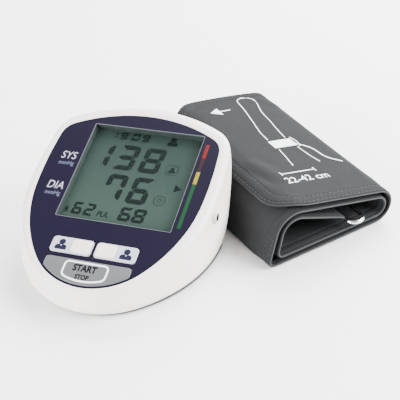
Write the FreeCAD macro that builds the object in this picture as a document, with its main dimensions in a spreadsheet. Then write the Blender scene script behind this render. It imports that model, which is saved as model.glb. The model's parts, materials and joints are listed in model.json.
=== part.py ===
import FreeCAD, Part
import Sketcher
import math
import os
import re

from FreeCAD import Placement, Rotation, Vector

# An upper-arm blood pressure monitor with its cuff wound up beside it.
# Millimetres.  +Z is up, +X is the user's right, -Y faces the user.  The origin is the middle of
# the base's underside, which four rubber feet carry just clear of the table.
#
# The "panel frame" is the sloping face of the monitor: its x runs to the right, its y (called
# "up the panel") runs up the slope, and depth is measured down from the face, along its normal.

SIZES = {
    # housing outline where the white shell ends, just above the table: how far it reaches, and
    # its arcs' radii, with the directions in which the arc along its side starts and ends
    "base_front": -55.3,
    "base_back": 55.3,
    "base_half": 62.6,
    "base_widest": 22.3,
    "base_front_radius": 50.0,
    "base_side_start_angle": -0.640,
    "base_side_radius": 190.0,
    "base_side_end_angle": 1.018,
    "base_back_radius": 150.0,
    # housing outline at its belly, on a plane of its own slope
    "belly_front": -51.8,
    "belly_back": 76.0,
    "belly_half": 68.6,
    "belly_widest": 24.0,
    "belly_front_radius": 57.0,
    "belly_side_start_angle": 4.547,
    "belly_side_radius": 180.0,
    "belly_side_end_angle": 6.236,
    "belly_back_radius": 130.0,
    "belly_tilt": 10.0,
    "belly_height": 16.7,
    # housing outline in the plane of the panel
    "rim_front": -52.2,
    "rim_back": 98.5,
    "rim_half": 65.0,
    "rim_widest": 36.0,
    "rim_front_radius": 54.0,
    "rim_side_start_angle": -1.957,
    "rim_side_radius": 230.0,
    "rim_side_end_angle": 8.647,
    "rim_back_radius": 112.0,
    "rim_round": 4.5,
    # where the rounded rim ends and lies level with the panel
    "crest_front": -49.0,
    "crest_back": 92.8,
    "crest_half": 60.3,
    "crest_widest": 39.0,
    "crest_front_radius": 48.0,
    "crest_side_start_angle": -3.007,
    "crest_side_radius": 245.0,
    "crest_side_end_angle": 6.766,
    "crest_back_radius": 107.5,
    # the dark front panel, set into the rim
    "panel_front": -47.6,
    "panel_back": 89.3,
    "panel_half": 58.0,
    "panel_widest": 41.0,
    "panel_front_radius": 46.0,
    "panel_side_start_angle": -3.786,
    "panel_side_radius": 260.0,
    "panel_side_end_angle": 5.544,
    "panel_back_radius": 104.5,
    "panel_tilt": 19.0,
    "panel_height": 36.3,
    "panel_setback": -10.7,
    "panel_thick": 1.2,
    # walls and fits
    "wall": 2.2,
    "deck_thick": 2.5,
    "fit_gap": 0.25,
    "seat_gap": 0.2,
    "pin_gap": 0.1,
    "root": 1.0,
    "cut_past": 1.0,
    # display
    "window_left": -35.0,
    "window_right": 44.0,
    "window_top": 78.2,
    "window_bottom": 0.4,
    "lens_lip": 1.6,
    "lens_thick": 1.0,
    "display_depth": 5.0,
    "display_thick": 2.8,
    "display_margin": 1.0,
    "display_ledge": 5.5,
    "frame_wall": 1.5,
    "frame_floor": 0.6,
    "strip_width": 2.4,
    "strip_inset": 0.6,
    "strip_short": 2.0,
    # circuit board
    "board_depth": 10.6,
    "board_thick": 1.6,
    "board_edge": 3.5,
    "board_bottom": -42.0,
    "board_step": -10.0,
    "board_top": 40.0,
    "board_chamfer": 17.0,
    "chip_side": 12.0,
    "chip_thick": 1.4,
    "chip_up": 4.0,
    "buzzer_radius": 6.0,
    "buzzer_thick": 5.0,
    "buzzer_across": 22.0,
    "buzzer_up": 24.0,
    "sensor_width": 12.0,
    "sensor_deep": 9.0,
    "sensor_cover": 0.2,
    "sensor_left": -20.0,
    # keys
    "user_key_width": 28.0,
    "user_key_tall": 11.4,
    "user_key_middle": -20.1,
    "user_key_spacing": 14.95,
    "key_corner": 2.6,
    "key_proud": 0.3,
    "user_pad_width": 13.0,
    "user_pad_inset": 0.9,
    "user_pad_rise": 0.8,
    "start_key_half": 28.8,
    "start_key_top": -28.9,
    "start_key_margin": 1.5,
    "ridge_half": 14.9,
    "ridge_top": -30.2,
    "ridge_side": -39.6,
    "ridge_bottom": -44.2,
    "ridge_width": 1.2,
    "ridge_rise": 0.5,
    "ridge_slant": 4.0,
    "raised_root": 0.2,
    "flange_tall": 4.0,
    "key_flange": 1.1,
    "flange_thick": 1.0,
    "key_travel": 1.0,
    "stem_radius": 2.2,
    "start_post_side": 13.0,
    "start_post_up": -36.0,
    "mat_thick": 1.0,
    "mat_half": 29.0,
    "mat_nose_half": 19.0,
    "mat_step": -32.0,
    "mat_bottom": -41.5,
    "mat_top": -13.5,
    "collar_half": 4.2,
    "collar_rise": 1.4,
    # bottom shell
    "foot_rise": 0.8,
    "shell_edge": 1.2,
    "shell_thick": 2.2,
    "foot_radius": 5.0,
    "foot_depth": 1.0,
    "foot_side": 41.0,
    "foot_back": 33.0,
    "foot_side_front": 33.0,
    "foot_front": -31.0,
    # battery bay and door
    "cell_radius": 7.1,
    "cell_long": 49.0,
    "cell_nub": 1.0,
    "nub_radius": 2.6,
    "cell_gap": 0.4,
    "contact_thick": 0.4,
    "contact_half": 5.5,
    "spring_long": 4.4,
    "spring_foot": 5.2,
    "spring_tip": 3.2,
    "cell_pitch": 14.8,
    "bay_front": -13.0,
    "bay_long": 56.0,
    "bay_wall": 1.5,
    "bay_room": 0.8,
    "flange_wide": 35.8,
    "cover_thick": 1.5,
    "cover_reach": 2.0,
    "door_half": 33.0,
    "door_thick": 1.9,
    "door_front": -17.0,
    "door_slide": 8.0,
    "door_way_deep": 15.0,
    "lug_long": 8.0,
    "lug_wide": 1.4,
    "lug_thick": 1.2,
    "lug_place": 2.0,
    "lug_step": 34.0,
    "grip_rib": 1.2,
    "grip_pitch": 3.0,
    "grip_half": 14.0,
    "grip_deep": 0.5,
    "grip_back": 10.0,
    # screws and bosses
    "boss_radius": 3.5,
    "boss_side_back": 51.8,
    "boss_back": 35.2,
    "boss_side_front": 40.0,
    "boss_front": -25.0,
    "screw_radius": 1.3,
    "screw_gap": 0.05,
    "screw_long": 12.0,
    "head_radius": 2.9,
    "head_thick": 1.8,
    "board_head_radius": 2.4,
    "board_head_thick": 1.2,
    "seat_rise": 2.0,
    "seat_edge": 0.4,
    "post_radius": 2.5,
    "post_side": 33.0,
    "post_front": -26.0,
    "hook_reach": 1.5,
    "hook_up": 20.0,
    "hook_wide": 12.0,
    "hook_root": 3.0,
    # pump
    "pump_radius": 10.5,
    "pump_setback": 41.5,
    "pump_half": 9.5,
    "saddle_front": 33.0,
    "saddle_rise": 6.0,
    "saddle_thick": 4.0,
    "saddle_step": 16.0,
    "pump_rest": 0.5,
    "valve_side": 12.0,
    "valve_coil": 5.2,
    "yoke_thick": 1.2,
    "yoke_gap": 0.5,
    "valve_line": 6.0,
    "valve_room": 0.3,
    "socket_line": 6.6,
    "manifold_long": 6.0,
    "manifold_half": 4.5,
    "manifold_tall": 6.0,
    "branch_long": 2.5,
    "motor_long": 31.0,
    "head_long": 25.0,
    "outlet_place": 2.8,
    "nozzle_radius": 2.0,
    "nozzle_long": 4.0,
    "tube_radius": 2.6,
    "tube_bore": 2.05,
    # sockets
    "jack_back": 13.0,
    "jack_height": 35.2,
    "jack_radius": 3.6,
    "jack_bore": 2.8,
    "jack_pin": 1.0,
    "jack_deep": 9.5,
    "jack_long": 11.8,
    "jack_proud": 1.1,
    "jack_collar": 6.0,
    "socket_back": 16.0,
    "socket_height": 24.8,
    "socket_radius": 5.0,
    "socket_bore": 2.3,
    "socket_deep": 10.0,
    "socket_proud": 0.6,
    # cuff, in its own frame: x across the roll, y along it, z up
    "cuff_right": 99.7,
    "cuff_back": 11.3,
    "cuff_angle": 49.0,
    "cuff_long": 150.0,
    "cuff_layer": 4.2,
    "cuff_slack": 0.5,
    "cuff_width": 101.5,
    "cuff_shoulder": 22.9,
    "cuff_tall": 43.4,
    "cuff_nose": 14.0,
    "cuff_heel": 6.0,
    "shoulder_shift": 0.4,
    "heel_shift": 0.5,
    "bladder_thick": 2.0,
    "bladder_inset": 10.0,
    "bladder_gap": 0.1,
    "hook_thick": 1.2,
    "hook_inset": 18.0,
    "hook_gap": 0.3,
    "tail_across": 52.0,
    "tail_height": 8.0,
    "tail_radius": 14.0,
    "ring_wire": 1.4,
    "ring_width": 11.5,
    "ring_proud": 6.5,
    "ring_gap": 2.26,
    "port_radius": 3.2,
    "port_bore": 2.0,
    "port_long": 11.0,
    "port_flange": 1.2,
    "air_stem_radius": 1.6,
    "air_stem_bore": 0.9,
}

doc = FreeCAD.newDocument("blood_pressure_monitor")
sheet = doc.addObject("Spreadsheet::Sheet", "size")
for row, (alias, number) in enumerate(SIZES.items(), start=1):
    sheet.set("A%d" % row, alias)
    sheet.set("B%d" % row, str(number))
    sheet.setAlias("B%d" % row, alias)
doc.recompute()

nodes = []


def size(alias):
    """The value of one cell of the sheet."""
    return float(sheet.get(alias))


def bound(text):
    """An expression in aliases, with every alias pointed at the sheet."""
    return re.sub(r"[a-z_]+", lambda m: "size." + m[0] if m[0] in SIZES else m[0], text)


def bind(thing, **expressions):
    """Bind properties, written with __ for a dot, to expressions in aliases."""
    for name, text in expressions.items():
        thing.setExpression(name.replace("__", "."), bound(str(text)))


def keep(thing, label):
    """Name a finished sub-part; its label is its file's name."""
    thing.Label = label
    nodes.append(thing)
    return thing


# ---------------------------------------------------------------- frames

TILT = math.radians(size("panel_tilt"))


def panel_point(across, up, depth):
    """A point of the panel frame in the part's own frame."""
    back = size("panel_setback") + up * math.cos(TILT) + depth * math.sin(TILT)
    high = size("panel_height") + up * math.sin(TILT) - depth * math.cos(TILT)
    return Vector(across, back, high)


def on_panel(thing):
    """Lay a sub-part that is modelled flat on the sloping face."""
    thing.Placement = Placement(panel_point(0, 0, 0), Rotation(Vector(1, 0, 0), size("panel_tilt")))
    bind(thing, Placement__Base__y="panel_setback", Placement__Base__z="panel_height",
         Placement__Rotation__Angle="panel_tilt")
    return thing


def on_cuff(thing):
    """Stand a sub-part of the cuff where the cuff lies."""
    thing.Placement = Placement(Vector(size("cuff_right"), size("cuff_back"), -size("foot_rise")),
                                Rotation(Vector(0, 0, 1), size("cuff_angle")))
    bind(thing, Placement__Base__x="cuff_right", Placement__Base__y="cuff_back",
         Placement__Base__z="-foot_rise", Placement__Rotation__Angle="cuff_angle")
    return thing


# ---------------------------------------------------------------- PartDesign helpers

def new_body(name):
    return doc.addObject("PartDesign::Body", name)


def origin_plane(body, role):
    return [f for f in body.Origin.OriginFeatures if f.Role == role][0]


def new_sketch(body, name, plane="XY_Plane"):
    sketch = body.newObject("Sketcher::SketchObject", name)
    sketch.AttachmentSupport = [(origin_plane(body, plane), "")]
    sketch.MapMode = "FlatFace"
    return sketch


def raise_sketch(sketch, height):
    """Lift a sketch off its plane along its normal."""
    bind(sketch, AttachmentOffset__Base__z=height)
    return sketch


def tilt_sketch(sketch, back, high, tilt, depth="0"):
    """Turn a sketch about X so that it lies parallel to a sloping plane, depth below it."""
    sketch.AttachmentOffset = Placement(Vector(0, 0, 0), Rotation(Vector(1, 0, 0), size(tilt)))
    bind(sketch, AttachmentOffset__Rotation__Angle=tilt,
         AttachmentOffset__Base__y="%s + (%s) * sin(%s * 1 deg)" % (back, depth, tilt),
         AttachmentOffset__Base__z="%s - (%s) * cos(%s * 1 deg)" % (high, depth, tilt))
    return sketch


def panel_sketch(body, name, depth="0"):
    return tilt_sketch(new_sketch(body, name), "panel_setback", "panel_height", "panel_tilt", depth)


def datum(sketch, kind, places, text):
    """Add a driving dimension bound to an expression."""
    index = sketch.addConstraint(Sketcher.Constraint(kind, *places))
    sketch.setExpression("Constraints[%d]" % index, bound(text))
    return index


def touch(small, large, radius):
    """Where two circles that touch from inside meet, on the larger one."""
    return large + (small - large).normalize() * radius


KEYS = ("front", "back", "half", "widest", "front_radius", "side_radius", "back_radius",
        "side_start_angle", "side_end_angle")
# how an inset changes each of them: +1 grows, -1 shrinks, 0 stays
INSET_SIGN = dict(zip(KEYS, (1, -1, -1, 0, -1, -1, -1, 0, 0)))


def outline(name, inset=()):
    """The measures of one named outline, moved inwards by the sum of some sizes."""
    amount = sum(size(alias) for alias in inset)
    measures = {}
    for key in KEYS:
        sign = INSET_SIGN[key]
        text = "%s_%s" % (name, key)
        for alias in inset if sign else ():
            text += " %s %s" % ("+" if sign > 0 else "-", alias)
        measures[key] = (text, size("%s_%s" % (name, key)) + sign * amount)
    return measures


def outline_between(low, high, share):
    """The measures a given share of the way from one outline to another."""
    measures = {}
    for key in KEYS:
        text = "%s_%s * %.4f + %s_%s * %.4f" % (low, key, 1 - share, high, key, share)
        number = size("%s_%s" % (low, key)) * (1 - share) + size("%s_%s" % (high, key)) * share
        measures[key] = (text, number)
    return measures


def fitted_arc(side, side_radius, angle, end, end_radius):
    """The centre of the arc that leaves the side arc at an angle and runs into the end arc.

    With q from the end arc's centre to the point left and n the outward normal there, the new
    radius r solves |q - r n| = |end_radius - r|.
    """
    normal = Vector(math.cos(math.radians(angle)), math.sin(math.radians(angle)), 0)
    point = side + normal * side_radius
    across = point - end
    radius = (across.dot(across) - end_radius ** 2) / (2 * (across.dot(normal) - end_radius))
    return point - normal * radius, radius


def outline_arcs(measures):
    """The right half of an outline as five arcs that run into each other: (centre, from, to)."""
    number = {key: measures[key][1] for key in KEYS}
    radius = {key: number[key + "_radius"] for key in ("front", "side", "back")}
    front = Vector(0, number["front"] + radius["front"], 0)
    side = Vector(number["half"] - radius["side"], number["widest"], 0)
    back = Vector(0, number["back"] - radius["back"], 0)
    blend, blend_radius = fitted_arc(side, radius["side"], number["side_start_angle"], front,
                                     radius["front"])
    corner, corner_radius = fitted_arc(side, radius["side"], number["side_end_angle"], back,
                                       radius["back"])
    joins = [touch(front, blend, blend_radius), touch(blend, side, radius["side"]),
             touch(corner, side, radius["side"]), touch(corner, back, radius["back"])]
    lowest = front - Vector(0, radius["front"], 0)
    highest = back + Vector(0, radius["back"], 0)
    ends = [lowest] + joins + [highest]
    return list(zip((front, blend, side, corner, back), ends[:-1], ends[1:]))


def arc_between(centre, start, end):
    """A counter-clockwise arc from one point to another."""
    angles = [math.atan2(p.y - centre.y, p.x - centre.x) for p in (start, end)]
    if angles[1] < angles[0]:
        angles[1] += 2 * math.pi
    circle = Part.Circle(centre, Vector(0, 0, 1), (start - centre).Length)
    return Part.ArcOfCircle(circle, angles[0], angles[1])


def mirrored(point):
    return Vector(-point.x, point.y, 0)


def outline_geometry(measures):
    """Eight arcs, counter-clockwise from the front arc."""
    half = outline_arcs(measures)
    front, back = half[0], half[4]
    right = [arc_between(*part) for part in half[1:4]]
    left = [arc_between(mirrored(c), mirrored(b), mirrored(a)) for c, a, b in half[3:0:-1]]
    return ([arc_between(front[0], mirrored(front[2]), front[2])] + right
            + [arc_between(back[0], back[1], mirrored(back[1]))] + left)


def draw_outline(sketch, measures):
    """Draw one of the housing's outlines and dimension it."""
    sketch.addGeometry(outline_geometry(measures), False)
    for index in range(8):
        sketch.addConstraint(Sketcher.Constraint("Tangent", index, 2, (index + 1) % 8, 1))
    for index, key in ((0, "front"), (2, "side"), (4, "back")):
        text, number = measures[key + "_radius"]
        datum(sketch, "Radius", (index, number), text)
    for twin, other in ((1, 7), (2, 6), (3, 5)):
        sketch.addConstraint(Sketcher.Constraint("Equal", twin, other))
    text = {key: "(%s)" % measures[key][0] for key in KEYS}
    for index, formula in ((0, text["front"] + " + " + text["front_radius"]),
                           (4, text["back"] + " - " + text["back_radius"])):
        sketch.addConstraint(Sketcher.Constraint("PointOnObject", index, 3, -2))
        datum(sketch, "DistanceY", (-1, 1, index, 3, sketch.Geometry[index].Center.y), formula)
    sketch.addConstraint(Sketcher.Constraint("Symmetric", 2, 3, 6, 3, -2))
    middle = sketch.Geometry[2].Center
    datum(sketch, "DistanceX", (-1, 1, 2, 3, middle.x), text["half"] + " - " + text["side_radius"])
    datum(sketch, "DistanceY", (-1, 1, 2, 3, middle.y), text["widest"])
    for vertex, key in ((1, "side_start_angle"), (2, "side_end_angle")):
        high = middle.y + measures["side_radius"][1] * math.sin(math.radians(measures[key][1]))
        datum(sketch, "DistanceY", (-1, 1, 2, vertex, high),
              "%s + %s * sin(%s * 1 deg)" % (text["widest"], text["side_radius"], text[key]))
    return sketch


def new_loft(body, name, sketches, kind="PartDesign::AdditiveLoft"):
    loft = body.newObject(kind, name)
    loft.Profile = sketches[0]
    loft.Sections = sketches[1:]
    loft.Ruled = True
    return loft


def housing_sections(body, name, inset, depth):
    """The three outlines that the shell is lofted through, moved inwards for its inside."""
    base = raise_sketch(new_sketch(body, name + "_base"), "shell_edge")
    belly = tilt_sketch(new_sketch(body, name + "_belly"), "panel_setback", "belly_height",
                        "belly_tilt")
    rim = panel_sketch(body, name + "_rim", depth)
    for sketch, level in ((base, "base"), (belly, "belly"), (rim, "rim")):
        draw_outline(sketch, outline(level, inset))
    return [base, belly, rim]


def rim_roll(body):
    """The rounded edge between the shell's wall and the crest that frames the panel."""
    sections = []
    for turn in (0, 30, 60, 90):
        share = 1 - math.cos(math.radians(turn))
        rise = math.sin(math.radians(turn))
        sketch = panel_sketch(body, "roll_%d" % turn, "rim_round * %.4f" % (1 - rise))
        sections.append(draw_outline(sketch, outline_between("rim", "crest", share)))
    return new_loft(body, "rim_roll", sections)


def rectangle(sketch, left, right, low, high):
    """A rectangle between four bounds, each an expression."""
    first = sketch.GeometryCount
    corners = [Vector(-1, -1, 0), Vector(1, -1, 0), Vector(1, 1, 0), Vector(-1, 1, 0)]
    for index in range(4):
        sketch.addGeometry(Part.LineSegment(corners[index], corners[(index + 1) % 4]), False)
    for index in range(4):
        ends = (first + index, 2, first + (index + 1) % 4, 1)
        sketch.addConstraint(Sketcher.Constraint("Coincident", *ends))
        kind = "Vertical" if index % 2 else "Horizontal"
        sketch.addConstraint(Sketcher.Constraint(kind, first + index))
    for kind, index, text in (("DistanceX", first, left), ("DistanceX", first + 2, right),
                              ("DistanceY", first, low), ("DistanceY", first + 2, high)):
        datum(sketch, kind, (-1, 1, index, 1, 1.0), text)
    return sketch


def circles(sketch, radius, places):
    """Circles of one radius at places given as pairs of expressions."""
    for across, back in places:
        index = sketch.addGeometry(Part.Circle(Vector(1, 1, 0), Vector(0, 0, 1), 1.0), False)
        datum(sketch, "DistanceX", (-1, 1, index, 3, 1.0), across)
        datum(sketch, "DistanceY", (-1, 1, index, 3, 1.0), back)
        datum(sketch, "Radius", (index, 1.0), radius)
    return sketch


def feature(body, kind, name, sketch, length, flip=False):
    """A Pad, or a Pocket that has to take material away."""
    made = body.newObject("PartDesign::" + kind, name)
    made.Profile = sketch
    made.Reversed = flip
    bind(made, Length=length)
    return made


def round_upright(body, name, radius):
    """Fillet the edges of the last feature's new walls that stand along the body's own Z."""
    doc.recompute()
    base = body.Tip
    upright = []
    for index, edge in enumerate(base.Shape.Edges, start=1):
        if len(edge.Vertexes) == 2:
            along = edge.Vertexes[1].Point - edge.Vertexes[0].Point
            if math.hypot(along.x, along.y) < 1e-6 and isinstance(edge.Curve, Part.Line):
                upright.append("Edge%d" % index)
    fillet = body.newObject("PartDesign::Fillet", name)
    fillet.Base = (base, upright)
    bind(fillet, Radius=radius)
    return fillet


# ---------------------------------------------------------------- Part helpers

def block(left, right, front, back, low, high):
    """A box between six bounds, each an expression."""
    box = doc.addObject("Part::Box", "block")
    bind(box, Length="(%s) - (%s)" % (right, left), Width="(%s) - (%s)" % (back, front),
         Height="(%s) - (%s)" % (high, low), Placement__Base__x=left, Placement__Base__y=front,
         Placement__Base__z=low)
    return box


AXES = {"X": Rotation(Vector(0, 1, 0), 90), "Y": Rotation(Vector(1, 0, 0), -90), "Z": Rotation()}


def rod(radius, length, at, axis="Z"):
    """A cylinder from a point given as three expressions, towards +X, +Y or +Z."""
    cylinder = doc.addObject("Part::Cylinder", "rod")
    cylinder.Placement = Placement(Vector(), AXES[axis])
    bind(cylinder, Radius=radius, Height=length, Placement__Base__x=at[0], Placement__Base__y=at[1],
         Placement__Base__z=at[2])
    return cylinder


def joined(*shapes):
    """Shapes that touch, as one solid."""
    if len(shapes) == 1:
        return shapes[0]
    fuse = doc.addObject("Part::MultiFuse", "joined")
    fuse.Shapes = list(shapes)
    fuse.Refine = True
    return fuse


def less(base, *tools):
    """A shape with others cut out of it."""
    cut = doc.addObject("Part::Cut", "less")
    cut.Base = base
    cut.Tool = joined(*tools)
    cut.Refine = True
    return cut


def group(*shapes):
    """Separate solids that share one node."""
    together = doc.addObject("Part::Compound", "group")
    together.Links = list(shapes)
    return together


def both_sides(places):
    """Places given for the right, and their mirror images on the left."""
    return [(sign + across, back) for across, back in places for sign in ("", "-")]


# ---------------------------------------------------------------- the monitor's top housing

WINDOW = ("window_left", "window_right", "window_bottom", "window_top")
BOSS_PLACES = (("boss_side_back", "boss_back"), ("boss_side_front", "boss_front"))


def grown(bounds, amount):
    """A rectangle's four bounds, moved outwards."""
    return tuple("%s %s (%s)" % (edge, sign, amount)
                 for edge, sign in zip(bounds, "-+-+"))


def user_key_bounds(side):
    """The rectangle of the left (-1) or right (+1) user key."""
    middle = "user_key_spacing * %d" % side
    return ("%s - user_key_width / 2" % middle, "%s + user_key_width / 2" % middle,
            "user_key_middle - user_key_tall / 2", "user_key_middle + user_key_tall / 2")


def crescent(sketch, gap):
    """The start key: flat top, short sides, and a front arc that follows the panel's edge."""
    half = size("start_key_half")
    radius = size("panel_front_radius") - size("start_key_margin")
    centre = Vector(0, size("panel_front") + size("panel_front_radius"), 0)
    low = centre.y - math.sqrt(radius ** 2 - half ** 2)
    high = size("start_key_top")
    points = [Vector(half, low, 0), Vector(half, high, 0), Vector(-half, high, 0),
              Vector(-half, low, 0)]
    sketch.addGeometry([Part.LineSegment(a, b) for a, b in zip(points, points[1:])], False)
    sketch.addGeometry(arc_between(centre, points[3], points[0]), False)
    for index in range(4):
        ends = (index, 2, (index + 1) % 4, 1)
        sketch.addConstraint(Sketcher.Constraint("Coincident", *ends))
    for kind, index in (("Vertical", 0), ("Horizontal", 1), ("Vertical", 2)):
        sketch.addConstraint(Sketcher.Constraint(kind, index))
    sketch.addConstraint(Sketcher.Constraint("PointOnObject", 3, 3, -2))
    datum(sketch, "DistanceX", (-1, 1, 0, 1, half), "start_key_half + " + gap)
    datum(sketch, "DistanceX", (-1, 1, 2, 1, -half), "-start_key_half - " + gap)
    datum(sketch, "DistanceY", (-1, 1, 1, 1, high), "start_key_top + " + gap)
    datum(sketch, "DistanceY", (-1, 1, 3, 3, centre.y), "panel_front + panel_front_radius")
    datum(sketch, "Radius", (3, radius), "panel_front_radius - start_key_margin + " + gap)
    return sketch


def key_openings(body, name, depth, sketch_maker):
    """Cut the three key openings down from the face."""
    for side, label in ((-1, "left"), (1, "right")):
        sketch = rectangle(sketch_maker(body, "%s_%s" % (name, label)),
                           *grown(user_key_bounds(side), "fit_gap"))
        feature(body, "Pocket", "%s_%s_cut" % (name, label), sketch, depth)
    sketch = crescent(sketch_maker(body, name + "_start"), "fit_gap")
    return feature(body, "Pocket", name + "_start_cut", sketch, depth)


def top_housing():
    body = new_body("top_housing_body")
    new_loft(body, "shell_outside", housing_sections(body, "outside", (), "rim_round"))
    rim_roll(body)
    new_loft(body, "shell_inside", housing_sections(body, "inside", ("wall",),
                                                    "panel_thick + deck_thick"),
             "PartDesign::SubtractiveLoft")
    recess = draw_outline(panel_sketch(body, "recess"), outline("panel"))
    feature(body, "Pocket", "recess_cut", recess, "panel_thick")
    through = "panel_thick + deck_thick + cut_past"
    lens = rectangle(panel_sketch(body, "lens_seat"), *grown(WINDOW, "lens_lip + fit_gap"))
    feature(body, "Pocket", "lens_seat_cut", lens, "panel_thick + lens_thick + fit_gap")
    window = rectangle(panel_sketch(body, "window"), *WINDOW)
    feature(body, "Pocket", "window_cut", window, through)
    key_openings(body, "key", through, panel_sketch)
    for place, (side, back) in zip(("back", "front"), BOSS_PLACES):
        foot = raise_sketch(new_sketch(body, "boss_" + place), BOSS_FOOT)
        circles(foot, "boss_radius", both_sides([(side, back)]))
        reach = ("panel_height + (%s - panel_setback) * tan(panel_tilt * 1 deg)"
                 " - (panel_thick + deck_thick / 2) / cos(panel_tilt * 1 deg) - (%s)")
        feature(body, "Pad", "boss_%s_pad" % place, foot, reach % (back, BOSS_FOOT))
        pilot = raise_sketch(new_sketch(body, "pilot_" + place), BOSS_FOOT)
        circles(pilot, "screw_radius + screw_gap", both_sides([(side, back)]))
        feature(body, "Pocket", "pilot_%s_cut" % place, pilot, "screw_long", flip=True)
    post = panel_sketch(body, "board_post", "board_depth")
    circles(post, "post_radius", both_sides([("post_side", "post_front")]))
    feature(body, "Pad", "board_post_pad", post, "board_depth - panel_thick - deck_thick / 2")
    hole = panel_sketch(body, "post_pilot", "board_depth")
    circles(hole, "screw_radius + screw_gap", both_sides([("post_side", "post_front")]))
    feature(body, "Pocket", "post_pilot_cut", hole, "screw_long / 2", flip=True)
    door = raise_sketch(new_sketch(body, "door_way"), PLATE_TOP)
    rectangle(door, "-(door_half + fit_gap)", "door_half + fit_gap", "base_back - door_way_deep",
              "base_back + wall * 2")
    feature(body, "Pocket", "door_way_cut", door, PLATE_TOP)
    jack = raise_sketch(new_sketch(body, "jack_hole", "YZ_Plane"), "boss_side_back")
    circles(jack, "jack_radius + fit_gap", [("jack_back", "jack_height")])
    feature(body, "Pocket", "jack_hole_cut", jack, "belly_half", flip=True)
    socket = raise_sketch(new_sketch(body, "socket_hole", "YZ_Plane"), "-boss_side_back")
    circles(socket, "socket_radius + fit_gap", [("socket_back", "socket_height")])
    feature(body, "Pocket", "socket_hole_cut", socket, "belly_half")
    return keep(body, "top_housing")


PLATE_TOP = "shell_thick"
BOSS_FOOT = PLATE_TOP + " + seat_rise"


def front_panel():
    body = new_body("front_panel_body")
    face = draw_outline(new_sketch(body, "panel_face"), outline("panel", ("seat_gap",)))
    feature(body, "Pad", "panel_plate", face, "panel_thick", flip=True)
    feature(body, "Pocket", "panel_window", rectangle(new_sketch(body, "panel_opening"), *WINDOW),
            "panel_thick + cut_past")
    key_openings(body, "slot", "panel_thick + cut_past", new_sketch)
    return keep(on_panel(body), "front_panel")


def display_window():
    """The clear lens on its ledge right under the front panel."""
    top = "-panel_thick"
    lens = block(*grown(WINDOW, "lens_lip"), "-(panel_thick + lens_thick)", top)
    return keep(on_panel(group(lens)), "display_window")


# ---------------------------------------------------------------- keys

FLANGE_TOP = "panel_thick + deck_thick + seat_gap"
STEM_FOOT = "board_depth - key_travel - pin_gap"


def key_base(body, flange, posts):
    """The hidden part of a key: its retaining flange and the stems that press the contacts."""
    plate = rectangle(raise_sketch(new_sketch(body, "flange"), "-(%s)" % FLANGE_TOP), *flange)
    feature(body, "Pad", "flange_pad", plate, "flange_thick", flip=True)
    stem = raise_sketch(new_sketch(body, "stem"), "-(%s)" % FLANGE_TOP)
    circles(stem, "stem_radius", posts)
    feature(body, "Pad", "stem_pad", stem, "(%s) - (%s)" % (STEM_FOOT, FLANGE_TOP), flip=True)


def user_key(side, label):
    """An oblong key with a raised pad on its inner half."""
    body = new_body(label + "_body")
    bounds = user_key_bounds(side)
    cap = rectangle(raise_sketch(new_sketch(body, "cap"), "-(%s)" % FLANGE_TOP), *bounds)
    feature(body, "Pad", "cap_pad", cap, FLANGE_TOP + " + key_proud")
    round_upright(body, "cap_round", "key_corner")
    inner = "(user_key_spacing - user_key_width / 2 + user_pad_inset)"
    outer = "(%s + user_pad_width)" % inner
    edges = (inner, outer) if side > 0 else ("-" + outer, "-" + inner)
    raised = rectangle(raise_sketch(new_sketch(body, "raised"), "key_proud - raised_root"), *edges,
                       "user_key_middle - user_key_tall / 2 + user_pad_inset",
                       "user_key_middle + user_key_tall / 2 - user_pad_inset")
    feature(body, "Pad", "raised_pad", raised, "user_pad_rise + raised_root")
    flange = bounds[:2] + ("user_key_middle - user_key_tall / 2 - key_flange",
                           "user_key_middle + user_key_tall / 2 + key_flange")
    posts = [("user_key_spacing * %d" % side, "user_key_middle")]
    key_base(body, flange, posts)
    return keep(on_panel(body), label)


def ridge_points(inward):
    """The six corners of the raised outline on the start key, moved inwards."""
    half, top = size("ridge_half") - inward, size("ridge_top") - inward
    side, low = size("ridge_side") + inward / 2, size("ridge_bottom") + inward
    slant = size("ridge_slant")
    return [Vector(-half, top, 0), Vector(half, top, 0), Vector(half, side, 0),
            Vector(half - slant, low, 0), Vector(slant - half, low, 0), Vector(-half, side, 0)]


def start_key():
    """The crescent key with its raised outline, on two posts."""
    body = new_body("start_stop_body")
    cap = crescent(raise_sketch(new_sketch(body, "cap"), "-(%s)" % FLANGE_TOP), "0")
    feature(body, "Pad", "cap_pad", cap, FLANGE_TOP + " + key_proud")
    round_upright(body, "cap_round", "key_corner")
    ridge = raise_sketch(new_sketch(body, "ridge"), "key_proud - raised_root")
    for loop in (ridge_points(0), ridge_points(size("ridge_width"))):
        ridge.addGeometry([Part.LineSegment(a, b) for a, b in zip(loop, loop[1:] + loop[:1])],
                          False)
    feature(body, "Pad", "ridge_pad", ridge, "ridge_rise + raised_root")
    flange = ("-(start_key_half + key_flange)", "start_key_half + key_flange",
              "start_key_top - key_corner - flange_tall", "start_key_top - key_corner")
    posts = both_sides([("start_post_side", "start_post_up")])
    key_base(body, flange, posts)
    return keep(on_panel(body), "start_stop_button")


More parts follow.
